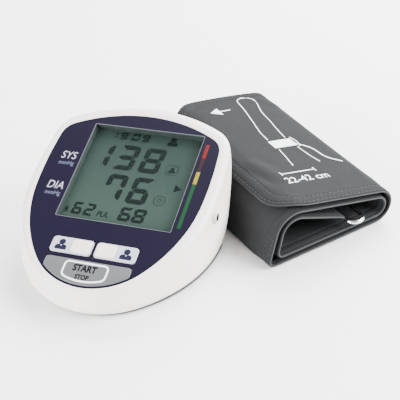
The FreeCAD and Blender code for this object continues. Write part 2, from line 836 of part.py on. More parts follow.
def keypad_mat():
    """The silicone sheet on the board, with a collar round the well of each contact."""
    low, high = "-board_depth", "-(board_depth - mat_thick)"
    sheet_parts = [block("-mat_half", "mat_half", "mat_step", "mat_top", low, high),
                   block("-mat_nose_half", "mat_nose_half", "mat_bottom", "mat_step", low, high)]
    places = (both_sides([("user_key_spacing", "user_key_middle")])
              + both_sides([("start_post_side", "start_post_up")]))
    collars = [block("%s - collar_half" % x, "%s + collar_half" % x, "%s - collar_half" % y,
                     "%s + collar_half" % y, low, high + " + collar_rise") for x, y in places]
    wells = [rod("stem_radius + fit_gap", "mat_thick + collar_rise + cut_past * 2",
                 (x, y, low + " - cut_past"))
             for x, y in places]
    return keep(on_panel(less(joined(*sheet_parts, *collars), *wells)), "keypad_mat")


# ---------------------------------------------------------------- display and board

DISPLAY = ("window_left - display_margin", "window_right + display_margin",
           "window_bottom - display_ledge", "window_top + display_margin")
FRAME = grown(DISPLAY, "frame_wall")
BOARD_BACK = "(board_depth + board_thick)"
BOARD_HALF = "(post_side + board_edge)"
POSTS = both_sides([("post_side", "post_front")])
# the air line runs straight in from the socket, so the sensor's nozzle is put on its axis
LINE_SETBACK = "(socket_back - panel_setback)"
LINE_DROP = "(panel_height - socket_height)"
SENSOR_UP = "(%s * cos(panel_tilt * 1 deg) - %s * sin(panel_tilt * 1 deg))" % (LINE_SETBACK,
                                                                            LINE_DROP)
SENSOR_DEPTH = "(%s * sin(panel_tilt * 1 deg) + %s * cos(panel_tilt * 1 deg))" % (LINE_SETBACK,
                                                                               LINE_DROP)


def lcd_module():
    glass = block(*DISPLAY, "-(display_depth + display_thick)", "-display_depth")
    return keep(on_panel(group(glass)), "lcd_module")


def lcd_frame():
    """The frame that hangs from the deck round the display, with hooks for the board's back."""
    top, low = "-(panel_thick + deck_thick)", "-board_depth"
    parts = [block(*FRAME, "-(display_depth + display_thick + frame_floor)", top),
             block(*FRAME[:3], "board_top", low, top)]
    catch = "%s + fit_gap" % BOARD_BACK
    left, right = FRAME[:2]
    for start, stop in ((left + " - hook_reach", left), (right, right + " + hook_reach")):
        parts.append(block(start, stop, "hook_up", "hook_up + hook_wide",
                           "-(%s + hook_reach)" % catch, "-(board_depth - hook_root)"))
    for start, stop in ((left + " - hook_reach", left + " + hook_reach"),
                        (right + " - hook_reach", right + " + hook_reach")):
        parts.append(block(start, stop, "hook_up", "hook_up + hook_wide",
                           "-(%s + hook_reach)" % catch, "-(%s)" % catch))
    window = block(*WINDOW, low, top + " + cut_past")
    bed = block(*grown(DISPLAY, "pin_gap"), low + " - cut_past", "-display_depth")
    return keep(on_panel(less(joined(*parts), window, bed)), "lcd_frame")


def contact_strip():
    """The conductive rubber strip that joins the display's ledge to the board."""
    front = "window_bottom - display_ledge + strip_inset"
    strip = block("window_left + strip_short", "window_right - strip_short", front,
                  front + " + strip_width", "-board_depth", "-(display_depth + display_thick)")
    return keep(on_panel(group(strip)), "contact_strip")


def main_board():
    """The circuit board: a wide back half under the display, a chamfered front under the keys.

    The housing's front bosses pass it in two notches.
    """
    body = new_body("main_board_body")
    back = rectangle(raise_sketch(new_sketch(body, "back_half"), "-" + BOARD_BACK),
                     FRAME[0] + " + fit_gap", FRAME[1] + " - fit_gap", "board_step", "board_top")
    feature(body, "Pad", "back_pad", back, "board_thick")
    front = rectangle(raise_sketch(new_sketch(body, "front_half"), "-" + BOARD_BACK),
                      "-" + BOARD_HALF, BOARD_HALF, "board_bottom", "board_step + board_thick")
    feature(body, "Pad", "front_pad", front, "board_thick")
    doc.recompute()
    base = body.Tip
    corners = ["Edge%d" % index for index, edge in enumerate(base.Shape.Edges, start=1)
               if edge.BoundBox.YMax < size("board_bottom") + size("pin_gap")
               and edge.BoundBox.ZLength > size("board_thick") / 2]
    chamfer = body.newObject("PartDesign::Chamfer", "front_chamfer")
    chamfer.Base = (base, corners)
    bind(chamfer, Size="board_chamfer")
    holes = circles(raise_sketch(new_sketch(body, "holes"), "-board_depth"),
                    "screw_radius + pin_gap", POSTS)
    feature(body, "Pocket", "holes_cut", holes, "board_thick + cut_past")
    notches = [rod("boss_radius + fit_gap", "panel_height", (x, y, PLATE_TOP))
               for x, y in both_sides(BOSS_PLACES[1:])]
    return keep(less(on_panel(body), *notches), "main_board")


def board_parts():
    """What is soldered under the board: processor, buzzer and pressure sensor."""
    back = "-" + BOARD_BACK
    chip = block("-chip_side / 2", "chip_side / 2", "chip_up", "chip_up + chip_side",
                 back + " - chip_thick", back)
    keep(on_panel(group(chip)), "main_chip")
    buzzer = rod("buzzer_radius", "buzzer_thick", ("buzzer_across", "buzzer_up",
                                                   back + " - buzzer_thick"))
    keep(on_panel(group(buzzer)), "buzzer")
    body = block("sensor_left", "sensor_left + sensor_width", SENSOR_UP + " - sensor_deep / 2",
                 SENSOR_UP + " + sensor_deep / 2",
                 "-(%s + nozzle_radius + sensor_cover)" % SENSOR_DEPTH, back)
    nozzle = rod("nozzle_radius", "nozzle_long + root", ("sensor_left - nozzle_long", SENSOR_UP,
                                                      "-" + SENSOR_DEPTH), "X")
    keep(on_panel(joined(body, nozzle)), "pressure_sensor")


def screw(head, thick, long, at):
    """A pan-head screw that points up; the given point is in its head's underside."""
    return joined(rod(head, thick, (at[0], at[1], "%s - (%s)" % (at[2], thick))),
                  rod("screw_radius", long, at))


def screws():
    housing = [screw("head_radius", "head_thick", "screw_long", (x, y, PLATE_TOP))
               for x, y in both_sides(BOSS_PLACES)]
    keep(group(*housing), "housing_screws")
    board = [screw("board_head_radius", "board_head_thick", "board_thick + screw_long / 3",
                   (x, y, "-" + BOARD_BACK)) for x, y in POSTS]
    keep(on_panel(group(*board)), "board_screws")


# ---------------------------------------------------------------- bottom shell, batteries, door

BAY_HALF = "(cell_pitch * 2 + cell_gap)"
BAY_BACK = "(bay_front + bay_long)"
BAY_TOP = "(%s + cell_radius * 2 + bay_room)" % PLATE_TOP
ROOF = "(%s + bay_wall)" % BAY_TOP
PUMP_HIGH = "(%s + pump_rest + pump_radius)" % ROOF
# the air line's pieces stand beside the battery bay, and the socket reaches in to them
SOCKET_OUT = "(belly_half + socket_proud)"
VALVE_ACROSS = "(-(flange_wide + valve_room + valve_side / 2))"
MANIFOLD_LEFT = "(%s - manifold_long / 2)" % VALVE_ACROSS
MANIFOLD_RIGHT = "(%s + manifold_long / 2)" % VALVE_ACROSS
SOCKET_LONG = "(%s + %s - socket_line)" % (SOCKET_OUT, MANIFOLD_LEFT)
PUMP_LEFT = "(%s - outlet_place)" % VALVE_ACROSS
MOTOR_LEFT = "(%s + head_long)" % PUMP_LEFT
FEET = both_sides([("foot_side", "foot_back"), ("foot_side_front", "foot_front")])
LUG_STEPS = ("0", "lug_step")
SADDLE_STARTS = ("-saddle_step", "0")


def plate_blank(name, thick, inset):
    """A plate with the outline of the shell's foot, some sizes smaller."""
    body = new_body(name)
    sketch = new_sketch(body, name + "_outline")
    draw_outline(sketch, outline("base", inset))
    feature(body, "Pad", name + "_pad", sketch, thick)
    return body


def lug_bounds(side, step, gap, slide):
    """One door lug, or with a gap and a slide the slot that it runs in."""
    start = "(door_front + lug_place + %s)" % step
    sides = ("door_half - root", "door_half + lug_wide + %s" % gap)
    if side < 0:
        sides = ("-(%s)" % sides[1], "-(%s)" % sides[0])
    return sides + (start + " - " + gap, "%s + lug_long + %s + %s" % (start, slide, gap))


def bottom_features():
    """What stands on the bottom plate: screw seats, the battery bay and the pump's saddle."""
    half = "(boss_radius + seat_edge)"
    seats = [block("%s - %s" % (x, half), "%s + %s" % (x, half), "%s - %s" % (y, half),
                   "%s + %s" % (y, half), PLATE_TOP, PLATE_TOP + " + seat_rise")
             for x, y in both_sides(BOSS_PLACES)]
    cover = block("-flange_wide", "flange_wide", "door_front - cover_reach",
                  BAY_BACK + " + bay_wall + root", PLATE_TOP, PLATE_TOP + " + cover_thick")
    bay = block("-(%s + bay_wall)" % BAY_HALF, BAY_HALF + " + bay_wall", "bay_front - bay_wall",
                BAY_BACK + " + bay_wall", PLATE_TOP, ROOF)
    ribs = [block(start, start + " + saddle_thick", "saddle_front", BAY_BACK + " + bay_wall", ROOF,
                  ROOF + " + saddle_rise") for start in SADDLE_STARTS]
    pad = block("-" + BAY_HALF, MOTOR_LEFT + " - saddle_thick", "saddle_front", BAY_BACK, ROOF,
                PUMP_HIGH + " - pump_half")
    return seats + [cover, bay, pad] + ribs


def bottom_housing():
    channel = block("-(door_half + fit_gap)", "door_half + fit_gap", "door_front - fit_gap",
                    "base_back + cut_past", "-cut_past", PLATE_TOP)
    plate = plate_blank("bottom_plate", "shell_thick", ("wall", "fit_gap"))
    shell = joined(less(plate, channel), *bottom_features())
    cuts = [block("-" + BAY_HALF, BAY_HALF, "bay_front", BAY_BACK, "-cut_past", BAY_TOP),
            rod("pump_radius + pin_gap", "motor_long + saddle_thick * 2",
                (MOTOR_LEFT, "pump_setback", PUMP_HIGH), "X")]
    groove_low = "door_thick - lug_thick - fit_gap"
    for side in (-1, 1):
        for step in LUG_STEPS:
            groove = lug_bounds(side, step, "fit_gap", "door_slide")
            cuts.append(block(*groove, groove_low, PLATE_TOP))
            notch = lug_bounds(side, step + " + door_slide", "fit_gap", "0")
            cuts.append(block(*notch, "-cut_past", PLATE_TOP))
    for x, y in both_sides(BOSS_PLACES):
        cuts.append(rod("head_radius + fit_gap", PLATE_TOP + " + cut_past", (x, y, "-cut_past")))
        cuts.append(rod("screw_radius + seat_gap", "%s + seat_rise + cut_past * 2" % PLATE_TOP,
                        (x, y, "-cut_past")))
    cuts += [rod("foot_radius + pin_gap", "foot_depth + cut_past", (x, y, "-cut_past"))
             for x, y in FEET]
    return keep(less(shell, *cuts), "bottom_housing")


def rubber_feet():
    feet = [rod("foot_radius", "foot_rise + foot_depth", (x, y, "-foot_rise")) for x, y in FEET]
    return keep(group(*feet), "rubber_feet")


def battery_door():
    """The sliding door: it fills the channel flush, hangs on four lugs and has grip grooves."""
    strip = block("-door_half", "door_half", "door_front", "base_back + cut_past", "0", "door_thick")
    panel = doc.addObject("Part::Common", "door_panel")
    panel.Base = plate_blank("door_blank", "door_thick", ())
    panel.Tool = strip
    lugs = [block(*lug_bounds(side, step, "0", "0"), "door_thick - lug_thick", "door_thick")
            for side in (-1, 1) for step in LUG_STEPS]
    grips = []
    for index in range(5):
        front = "base_back - grip_back - %d * grip_pitch" % index
        grips.append(block("-grip_half", "grip_half", front, front + " + grip_rib", "-cut_past",
                           "grip_deep"))
    return keep(less(joined(panel, *lugs), *grips), "battery_door")


def batteries():
    """Four AA cells side by side, every second one turned round, with contacts at both ends."""
    cells = []
    contacts = []
    centre = "(%s + cell_radius + cell_gap)" % PLATE_TOP
    plates = ("bay_front", BAY_BACK + " - contact_thick")
    for index in range(4):
        across = "cell_pitch * %.1f" % (index - 1.5)
        turned = index % 2
        start = "(bay_front + contact_thick + %s)" % ("cell_nub" if turned else "spring_long")
        nub = start + (" - cell_nub" if turned else " + cell_long - pin_gap")
        cells.append(joined(rod("cell_radius", "cell_long", (across, start, centre), "Y"),
                            rod("nub_radius", "cell_nub + pin_gap", (across, nub, centre), "Y")))
        for place in plates:
            contacts.append(block(across + " - contact_half", across + " + contact_half", place,
                                  place + " + contact_thick", centre + " - contact_half",
                                  centre + " + contact_half"))
        spring = doc.addObject("Part::Cone", "spring")
        spring.Placement = Placement(Vector(), AXES["Y"])
        foot = start + " + cell_long" if turned else "bay_front + contact_thick"
        ends = ("spring_tip", "spring_foot") if turned else ("spring_foot", "spring_tip")
        bind(spring, Radius1=ends[0], Radius2=ends[1], Height="spring_long",
             Placement__Base__x=across, Placement__Base__y=foot, Placement__Base__z=centre)
        contacts.append(spring)
    keep(group(*cells), "batteries")
    return keep(group(*contacts), "battery_contacts")


# ---------------------------------------------------------------- air line

LINE = ("socket_back", "socket_height")
# at the jack's height the wall has come three quarters of the way from the belly to the rim
JACK_OUT = "(belly_half / 4 + rim_half * 3 / 4 + jack_proud)"
PUMP_FRONT = "(pump_setback - pump_half)"
MANIFOLD_LOW = "(socket_height - manifold_tall / 2)"
VALVE_TOP = "(%s - valve_line)" % MANIFOLD_LOW


def air_pump():
    """The pump: a square diaphragm head with its outlet in front, and its round motor."""
    head = block(PUMP_LEFT, MOTOR_LEFT, PUMP_FRONT, "pump_setback + pump_half",
                 PUMP_HIGH + " - pump_half", PUMP_HIGH + " + pump_half")
    outlet = rod("nozzle_radius", "nozzle_long + root",
                 (VALVE_ACROSS, PUMP_FRONT + " - nozzle_long", "socket_height"), "Y")
    keep(joined(head, outlet), "pump_head")
    motor = rod("pump_radius", "motor_long", (MOTOR_LEFT, "pump_setback", PUMP_HIGH), "X")
    return keep(motor, "pump_motor")


def exhaust_valve():
    """The solenoid valve under the manifold: a coil between two yoke plates, nozzle on top."""
    front, back = "socket_back - valve_side / 2", "socket_back + valve_side / 2"
    left, right = VALVE_ACROSS + " - valve_side / 2", VALVE_ACROSS + " + valve_side / 2"
    coil = rod("valve_coil", "%s - %s - yoke_gap * 2" % (VALVE_TOP, PLATE_TOP),
               (VALVE_ACROSS, "socket_back", PLATE_TOP + " + yoke_gap"))
    yoke = [block(left, end, front, back, low, high) for end, low, high in (
        (right, PLATE_TOP, PLATE_TOP + " + yoke_thick"),
        (right, VALVE_TOP + " - yoke_thick", VALVE_TOP),
        (left + " + yoke_thick", PLATE_TOP, VALVE_TOP))]
    nozzle = rod("nozzle_radius", "branch_long + root", (VALVE_ACROSS, "socket_back",
                                                         VALVE_TOP + " - root"))
    return keep(joined(coil, nozzle, *yoke), "exhaust_valve")


def air_manifold():
    """The block where the pump's, valve's, sensor's and socket's lines meet."""
    core = block(MANIFOLD_LEFT, MANIFOLD_RIGHT, "socket_back - manifold_half",
                 "socket_back + manifold_half", MANIFOLD_LOW, MANIFOLD_LOW + " + manifold_tall")
    through = rod("nozzle_radius", "manifold_long + branch_long * 2",
                  (MANIFOLD_LEFT + " - branch_long",) + LINE, "X")
    back = rod("nozzle_radius", "branch_long + root",
               (VALVE_ACROSS, "socket_back + manifold_half - root", "socket_height"), "Y")
    down = rod("nozzle_radius", "branch_long + root", (VALVE_ACROSS, "socket_back",
                                                       MANIFOLD_LOW + " - branch_long"))
    return keep(joined(core, through, back, down), "air_manifold")


def tube(start, end, across, axis):
    """A straight silicone tube from one face to another, over the nozzles on both."""
    low = start + " + seat_gap"
    long = "%s - (%s) - seat_gap * 2" % (end, start)
    solids = []
    for radius, at, length in (("tube_radius", low, long),
                               ("tube_bore", low + " - cut_past", long + " + cut_past * 2")):
        spot = {"X": (at,) + across, "Y": (across[0], at, across[1]), "Z": across + (at,)}[axis]
        solids.append(rod(radius, length, spot, axis))
    return less(*solids)


def air_tubes():
    tubes = [tube("(-%s + %s)" % (SOCKET_OUT, SOCKET_LONG), MANIFOLD_LEFT, LINE, "X"),
             tube(MANIFOLD_RIGHT, "sensor_left", LINE, "X"),
             tube("socket_back + manifold_half", PUMP_FRONT, (VALVE_ACROSS, "socket_height"), "Y"),
             tube(VALVE_TOP, MANIFOLD_LOW, (VALVE_ACROSS, "socket_back"), "Z")]
    return keep(group(*tubes), "air_tubes")


def sockets():
    """The cuff's air socket in the left wall and the mains adaptor's jack in the right one."""
    out = "-" + SOCKET_OUT
    body = rod("socket_radius", SOCKET_LONG, (out,) + LINE, "X")
    barb = rod("nozzle_radius", "nozzle_long",
               ("%s + %s - seat_gap" % (out, SOCKET_LONG),) + LINE, "X")
    bore = rod("socket_bore", "socket_deep", (out,) + LINE, "X")
    keep(less(joined(body, barb), bore), "air_socket")
    out = JACK_OUT
    place = ("jack_back", "jack_height")
    shell = rod("jack_radius", "jack_long", (out + " - jack_long",) + place, "X")
    half = "jack_radius"
    box = block(out + " - jack_long", out + " - jack_collar", "jack_back - " + half,
                "jack_back + " + half, "jack_height - " + half, "jack_height + " + half)
    hole = rod("jack_bore", "jack_deep", (out + " - jack_deep",) + place, "X")
    pin = rod("jack_pin", "jack_deep - root", (out + " - jack_deep - pin_gap",) + place, "X")
    return keep(joined(less(joined(shell, box), hole), pin), "dc_jack")


# ---------------------------------------------------------------- cuff

# where the strip starts on the shoulder, and where it ends on its inner end's circle
LEFT_ANGLE = math.radians(125)
END_ANGLE = math.radians(40)
BLADDER_ANGLES = (math.radians(240), math.radians(-60))
HOOK_ANGLES = (LEFT_ANGLE - math.radians(8.6), math.radians(75))
# how much further each turn's heel lies in than the turn is deep
HEEL_DRIFT = 1.4


def winding_circles():
    """The circles that the wound cuff is pulled round, turn by turn, from its flap inwards.

    Each is (centre, outer radius) in the section across the roll, x across and y up.  Turn k
    lies k pitches inside the first: round the shoulder, round the nose, back round the heel.
    """
    pitch = size("cuff_layer") + size("cuff_slack")
    shoulder, nose, heel = size("cuff_shoulder"), size("cuff_nose"), size("cuff_heel")
    tall, wide = size("cuff_tall"), size("cuff_width")
    turns = []
    for turn in range(3):
        offset = turn * pitch
        turns.append((Vector(shoulder - size("shoulder_shift"), tall - shoulder, 0),
                      shoulder - offset))
        if turn == 2:
            turns.append((Vector(size("tail_across"), size("tail_height"), 0), size("tail_radius")))
            break
        turns.append((Vector(wide - nose, nose, 0), nose - offset))
        turns.append((Vector(heel - size("heel_shift") + HEEL_DRIFT * offset, heel + offset, 0),
                      heel))
    return turns


def pull_line(first, second):
    """The points where a line pulled tight over two circles leaves one and meets the other."""
    across = second[0] - first[0]
    lean = (first[1] - second[1]) / across.Length
    along = Vector(across).normalize()
    normal = along * lean + Vector(-along.y, along.x, 0) * math.sqrt(1 - lean * lean)
    return first[0] + normal * first[1], second[0] + normal * second[1]


def wound_edge(windings, start_angle, end_angle):
    """The edges that run clockwise round the circles, from one angle to another."""
    centre, radius = windings[0]
    here = centre + Vector(math.cos(start_angle), math.sin(start_angle), 0) * radius
    edges = []
    for index, (centre, radius) in enumerate(windings):
        if index + 1 < len(windings):
            leave, meet = pull_line(windings[index], windings[index + 1])
        else:
            leave = centre + Vector(math.cos(end_angle), math.sin(end_angle), 0) * radius
        start = math.atan2(here.y - centre.y, here.x - centre.x)
        end = math.atan2(leave.y - centre.y, leave.x - centre.x)
        if end > start:
            end -= 2 * math.pi
        half = (start + end) / 2
        middle = centre + Vector(math.cos(half), math.sin(half), 0) * radius
        edges.append(Part.Arc(here, middle, leave).toShape())
        if index + 1 < len(windings):
            edges.append(Part.LineSegment(leave, meet).toShape())
            here = meet
    return edges


def wound_strip(windings, angles, outer, inner, near, far):
    """A strip wound round the circles, between two depths in the layer and two ends."""
    loops = [wound_edge([(centre, radius - depth) for centre, radius in windings], *angles)
             for depth in (outer, inner)]
    ends = []
    for point in (0, -1):
        pair = [loop[point].Vertexes[point].Point for loop in loops]
        ends.append(Part.LineSegment(*pair).toShape())
    section = Part.Wire(Part.__sortEdges__(loops[0] + [ends[1]] + loops[1] + [ends[0]]))
    solid = Part.Face(section).extrude(Vector(0, 0, near - far))
    stand = Placement(Vector(0, near, 0), Rotation(Vector(1, 0, 0), 90))
    return solid.transformed(stand.toMatrix(), copy=True)


def wound_piece(label, shape):
    piece = doc.addObject("Part::Feature", label + "_shape")
    piece.Shape = shape
    return keep(on_cuff(piece), label)


def hem_rod(windings, radius, near, far):
    """A rod along the roll, on the middle of the layer that holds the bladder's outer end."""
    centre, turn = windings[3]
    across = centre.x - turn + size("cuff_layer") / 2
    return Part.makeCylinder(radius, far - near, Vector(across, near, centre.y), Vector(0, 1, 0))


def cuff():
    """The wound sleeve, with a pouch for its bladder and a seat for its hook patch."""
    windings = winding_circles()
    layer, long, past = size("cuff_layer"), size("cuff_long"), size("cut_past")
    sleeve = wound_strip(windings, (LEFT_ANGLE, END_ANGLE), 0, layer, 0, long)
    around = windings[2:5]
    margin = (layer - size("bladder_thick")) / 2
    inset, gap = size("bladder_inset"), size("bladder_gap")
    pouch = wound_strip(around, BLADDER_ANGLES, margin - gap, layer - margin + gap, inset - gap,
                        long + past)
    bladder = wound_strip(around, BLADDER_ANGLES, margin, layer - margin, inset, long - inset)
    shoulder, nose = windings[:2]
    flap = [shoulder, ((shoulder[0] + nose[0]) / 2, (shoulder[1] + nose[1]) / 2)]
    hook, edge, room = size("hook_thick"), size("hook_inset"), size("hook_gap")
    seat = wound_strip(flap, HOOK_ANGLES, layer - hook, layer + past, edge - room,
                       long - edge + room)
    patch = wound_strip(flap, HOOK_ANGLES, layer - hook + gap, layer + gap, edge, long - edge)
    hole = hem_rod(windings, size("air_stem_radius") + gap, long - inset, long + past)
    wound_piece("cuff_sleeve", sleeve.cut([pouch, seat, hole]))
    wound_piece("air_bladder", bladder)
    wound_piece("hook_patch", patch)
    return windings


def wire_ring(bar):
    """A flat wire ring as long as the sleeve is wide; bar is the middle of its near long side."""
    wire, half = size("ring_wire"), size("ring_width") / 2
    near, far = -size("ring_proud"), size("cuff_long") + size("ring_proud")
    loops = []
    for reach, inset in ((half + wire, 0), (half - wire, 2 * wire)):
        low, high = near + inset + reach, far - inset - reach
        corner = Vector(bar.x + half - reach, low, bar.y - wire)
        loop = Part.makeBox(2 * reach, high - low, 2 * wire, corner)
        rounds = [Part.makeCylinder(reach, 2 * wire, Vector(bar.x + half, end, bar.y - wire))
                  for end in (low, high)]
        loops.append(loop.fuse(rounds).removeSplitter())
    return loops[0].cut(loops[1])


def cuff_fittings(windings):
    """The ring at the sleeve's inner end, and the port that the air hose pushes onto."""
    centre, radius = windings[-1]
    end = Vector(math.cos(END_ANGLE), math.sin(END_ANGLE), 0)
    tip = centre + end * (radius - size("cuff_layer") / 2)
    wound_piece("d_ring", wire_ring(tip + Vector(end.y, -end.x, 0) * size("ring_gap")))
    hem = size("cuff_long")
    flange_end = hem + size("port_flange")
    mouth = flange_end + size("port_long")
    outside = [hem_rod(windings, size("port_radius") + size("port_flange"), hem, flange_end),
               hem_rod(windings, size("port_radius"), flange_end, mouth)]
    stem_end = hem - size("bladder_inset")
    stem = hem_rod(windings, size("air_stem_radius"), stem_end, hem)
    bores = [hem_rod(windings, size("port_bore"), flange_end, mouth),
             hem_rod(windings, size("air_stem_bore"), stem_end, mouth)]
    wound_piece("hose_port", stem.fuse(outside).removeSplitter().cut(bores))


# ---------------------------------------------------------------- build, check, write

def build_all():
    top_housing()
    front_panel()
    display_window()
    for side, label in ((-1, "user_1_button"), (1, "user_2_button")):
        user_key(side, label)
    start_key()
    keypad_mat()
    for make in (lcd_module, lcd_frame, contact_strip, main_board, board_parts, screws,
                 bottom_housing, rubber_feet, battery_door, batteries, air_pump, exhaust_valve,
                 air_manifold, air_tubes, sockets):
        make()
    cuff_fittings(cuff())


def check_all():
    """Stop with a plain message when an object of the document failed or a node is no solid."""
    for thing in doc.Objects:
        if "Invalid" in thing.State or "Error" in thing.State:
            raise RuntimeError("%s (%s) failed: %s" % (thing.Label, thing.Name, thing.State))
    for node in nodes:
        if node.Shape.isNull() or not node.Shape.isValid() or not node.Shape.Solids:
            raise RuntimeError("%s has no valid solid" % node.Label)


build_all()
doc.recompute()
check_all()
os.makedirs("parts", exist_ok=True)
for node in nodes:
    node.Shape.exportStep(os.path.join("parts", node.Label + ".step"))
    print("%-18s %2d solid(s) %9.0f mm3" % (node.Label, len(node.Shape.Solids), node.Shape.Volume))
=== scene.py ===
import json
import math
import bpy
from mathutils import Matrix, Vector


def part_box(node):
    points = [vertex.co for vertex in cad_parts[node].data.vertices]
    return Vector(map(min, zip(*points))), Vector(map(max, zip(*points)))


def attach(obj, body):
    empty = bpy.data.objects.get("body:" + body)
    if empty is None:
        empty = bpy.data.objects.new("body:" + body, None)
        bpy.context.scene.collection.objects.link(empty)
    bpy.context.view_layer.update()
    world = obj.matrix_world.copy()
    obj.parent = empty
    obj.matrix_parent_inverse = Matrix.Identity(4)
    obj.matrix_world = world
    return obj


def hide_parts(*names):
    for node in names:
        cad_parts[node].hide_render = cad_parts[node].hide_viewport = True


bl_info = {
    "name": "Blood pressure monitor",
    "version": (1, 0, 0),
    "blender": (4, 5, 0),
    "location": "3D View > Sidebar > Monitor",
    "description": "Dresses the frame of an upper-arm blood pressure monitor and its wound cuff",
    "category": "Object",
}

import bmesh
import bpy
import numpy as np
from bpy.props import FloatProperty, FloatVectorProperty, PointerProperty
from mathutils import Matrix, Vector

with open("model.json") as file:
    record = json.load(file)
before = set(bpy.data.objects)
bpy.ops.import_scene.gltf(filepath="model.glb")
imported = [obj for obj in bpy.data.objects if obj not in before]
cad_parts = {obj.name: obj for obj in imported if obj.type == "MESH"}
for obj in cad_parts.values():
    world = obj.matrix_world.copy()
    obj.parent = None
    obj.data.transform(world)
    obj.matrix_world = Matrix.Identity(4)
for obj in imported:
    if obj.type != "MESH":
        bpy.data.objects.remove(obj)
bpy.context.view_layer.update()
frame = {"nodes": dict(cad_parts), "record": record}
NODES = frame["nodes"]

MM = 0.001
DEG = math.pi / 180
SHARP = 35 * DEG        # past this angle an edge of a smooth piece stays sharp


# ---------------------------------------------------------------- settings

def length(name, description, default):
    """A size that the user can set, given here in millimetres."""
    return FloatProperty(name=name, description=description, default=default * MM,
                         unit="LENGTH", precision=5)


def lengths(name, description, *default):
    """Several sizes of one thing, given here in millimetres."""
    return FloatVectorProperty(name=name, description=description, size=len(default),
                               default=[value * MM for value in default], unit="LENGTH",
                               precision=5)


def angle(name, description, default):
    """An angle that the user can set, given here in degrees."""
    return FloatProperty(name=name, description=description, default=default * DEG,
                         unit="ROTATION")


def tint(name, description, red, green, blue):
    """A colour that the user can set."""
    return FloatVectorProperty(name=name, description=description, size=3, subtype="COLOR",
                               default=(red, green, blue), min=0, max=1)


def amount(name, description, default, high):
    """A plain number that the user can set."""
    return FloatProperty(name=name, description=description, default=default, min=0, max=high)


REACH = "Front, back, half width and widest place of the outline "
RADII = "Front, blend, side, corner and back radius of the outline "


class MonitorHousing(bpy.types.PropertyGroup):
    """The white shell: five outlines from its foot to the panel that it frames."""
    base_reach: lengths("Base reach", REACH + "at the foot", -55.3, 55.3, 62.6, 22.3)
    base_radii: lengths("Base radii", RADII + "at the foot", 50, 84, 190, 24, 150)
    belly_reach: lengths("Belly reach", REACH + "at the belly", -51.8, 76, 68.6, 24)
    belly_radii: lengths("Belly radii", RADII + "at the belly", 57, 92, 180, 27, 130)
    rim_reach: lengths("Rim reach", REACH + "under the rounded rim", -52.2, 98.5, 65, 36)
    rim_radii: lengths("Rim radii", RADII + "under the rounded rim", 54, 100, 230, 21, 112)
    crest_reach: lengths("Crest reach", REACH + "where the rim lies level", -49, 92.8, 60.3, 39)
    crest_radii: lengths("Crest radii", RADII + "where the rim lies level",
                         48, 97, 245, 16.5, 107.5)
    panel_reach: lengths("Panel reach", REACH + "of the dark panel", -47.6, 89.3, 58, 41)
    panel_radii: lengths("Panel radii", RADII + "of the dark panel", 46, 95, 260, 13.5, 104.5)
    panel_tilt: angle("Panel slope", "Slope of the panel", 19)
    panel_height: length("Panel height", "Height of the panel frame's origin", 36.3)
    panel_setback: length("Panel setback", "Place of the panel frame's origin along Y", -10.7)
    panel_thick: length("Panel thickness", "Depth of the recess that holds the panel", 1.2)
    belly_tilt: angle("Belly slope", "Slope of the belly's plane", 10)
    belly_height: length("Belly height", "Height of the belly's plane at the panel's origin", 16.7)
    foot_height: length("Foot height", "Height of the shell's lower edge", 1.2)
    rim_round: length("Rim round", "Depth of the rounded rim", 4.5)
    wall: length("Wall", "Thickness of the shell", 2.2)
    deck: length("Deck", "Thickness of the deck under the panel", 2.5)
    fit: length("Fit", "Room round a key or a plug in its opening", 0.25)
    lens_lip: length("Lens lip", "How far the clear window reaches under the panel", 1.6)
    lens_thick: length("Lens thickness", "Thickness of the clear window", 1.0)
    door_way: lengths("Door way", "Half width, length and height of the way for the battery door",
                      33, 15, 2.2)
    jack: lengths("Jack", "Place along Y, height and radius of the jack on the right",
                  13, 35.2, 3.6)
    socket: lengths("Socket", "Place along Y, height and radius of the air socket on the left",
                    16, 24.8, 5.0)
    # the seam's dark colour is partly a real gap and partly painted shadow under the shell's edge
    seam: lengths("Seam", "Foot, top, rise and depth of the dark seam under the shell",
                  0.3, 2.3, 0.85, 0.6)
    white: tint("White", "Colour of the shell", 0.765, 0.722, 0.697)


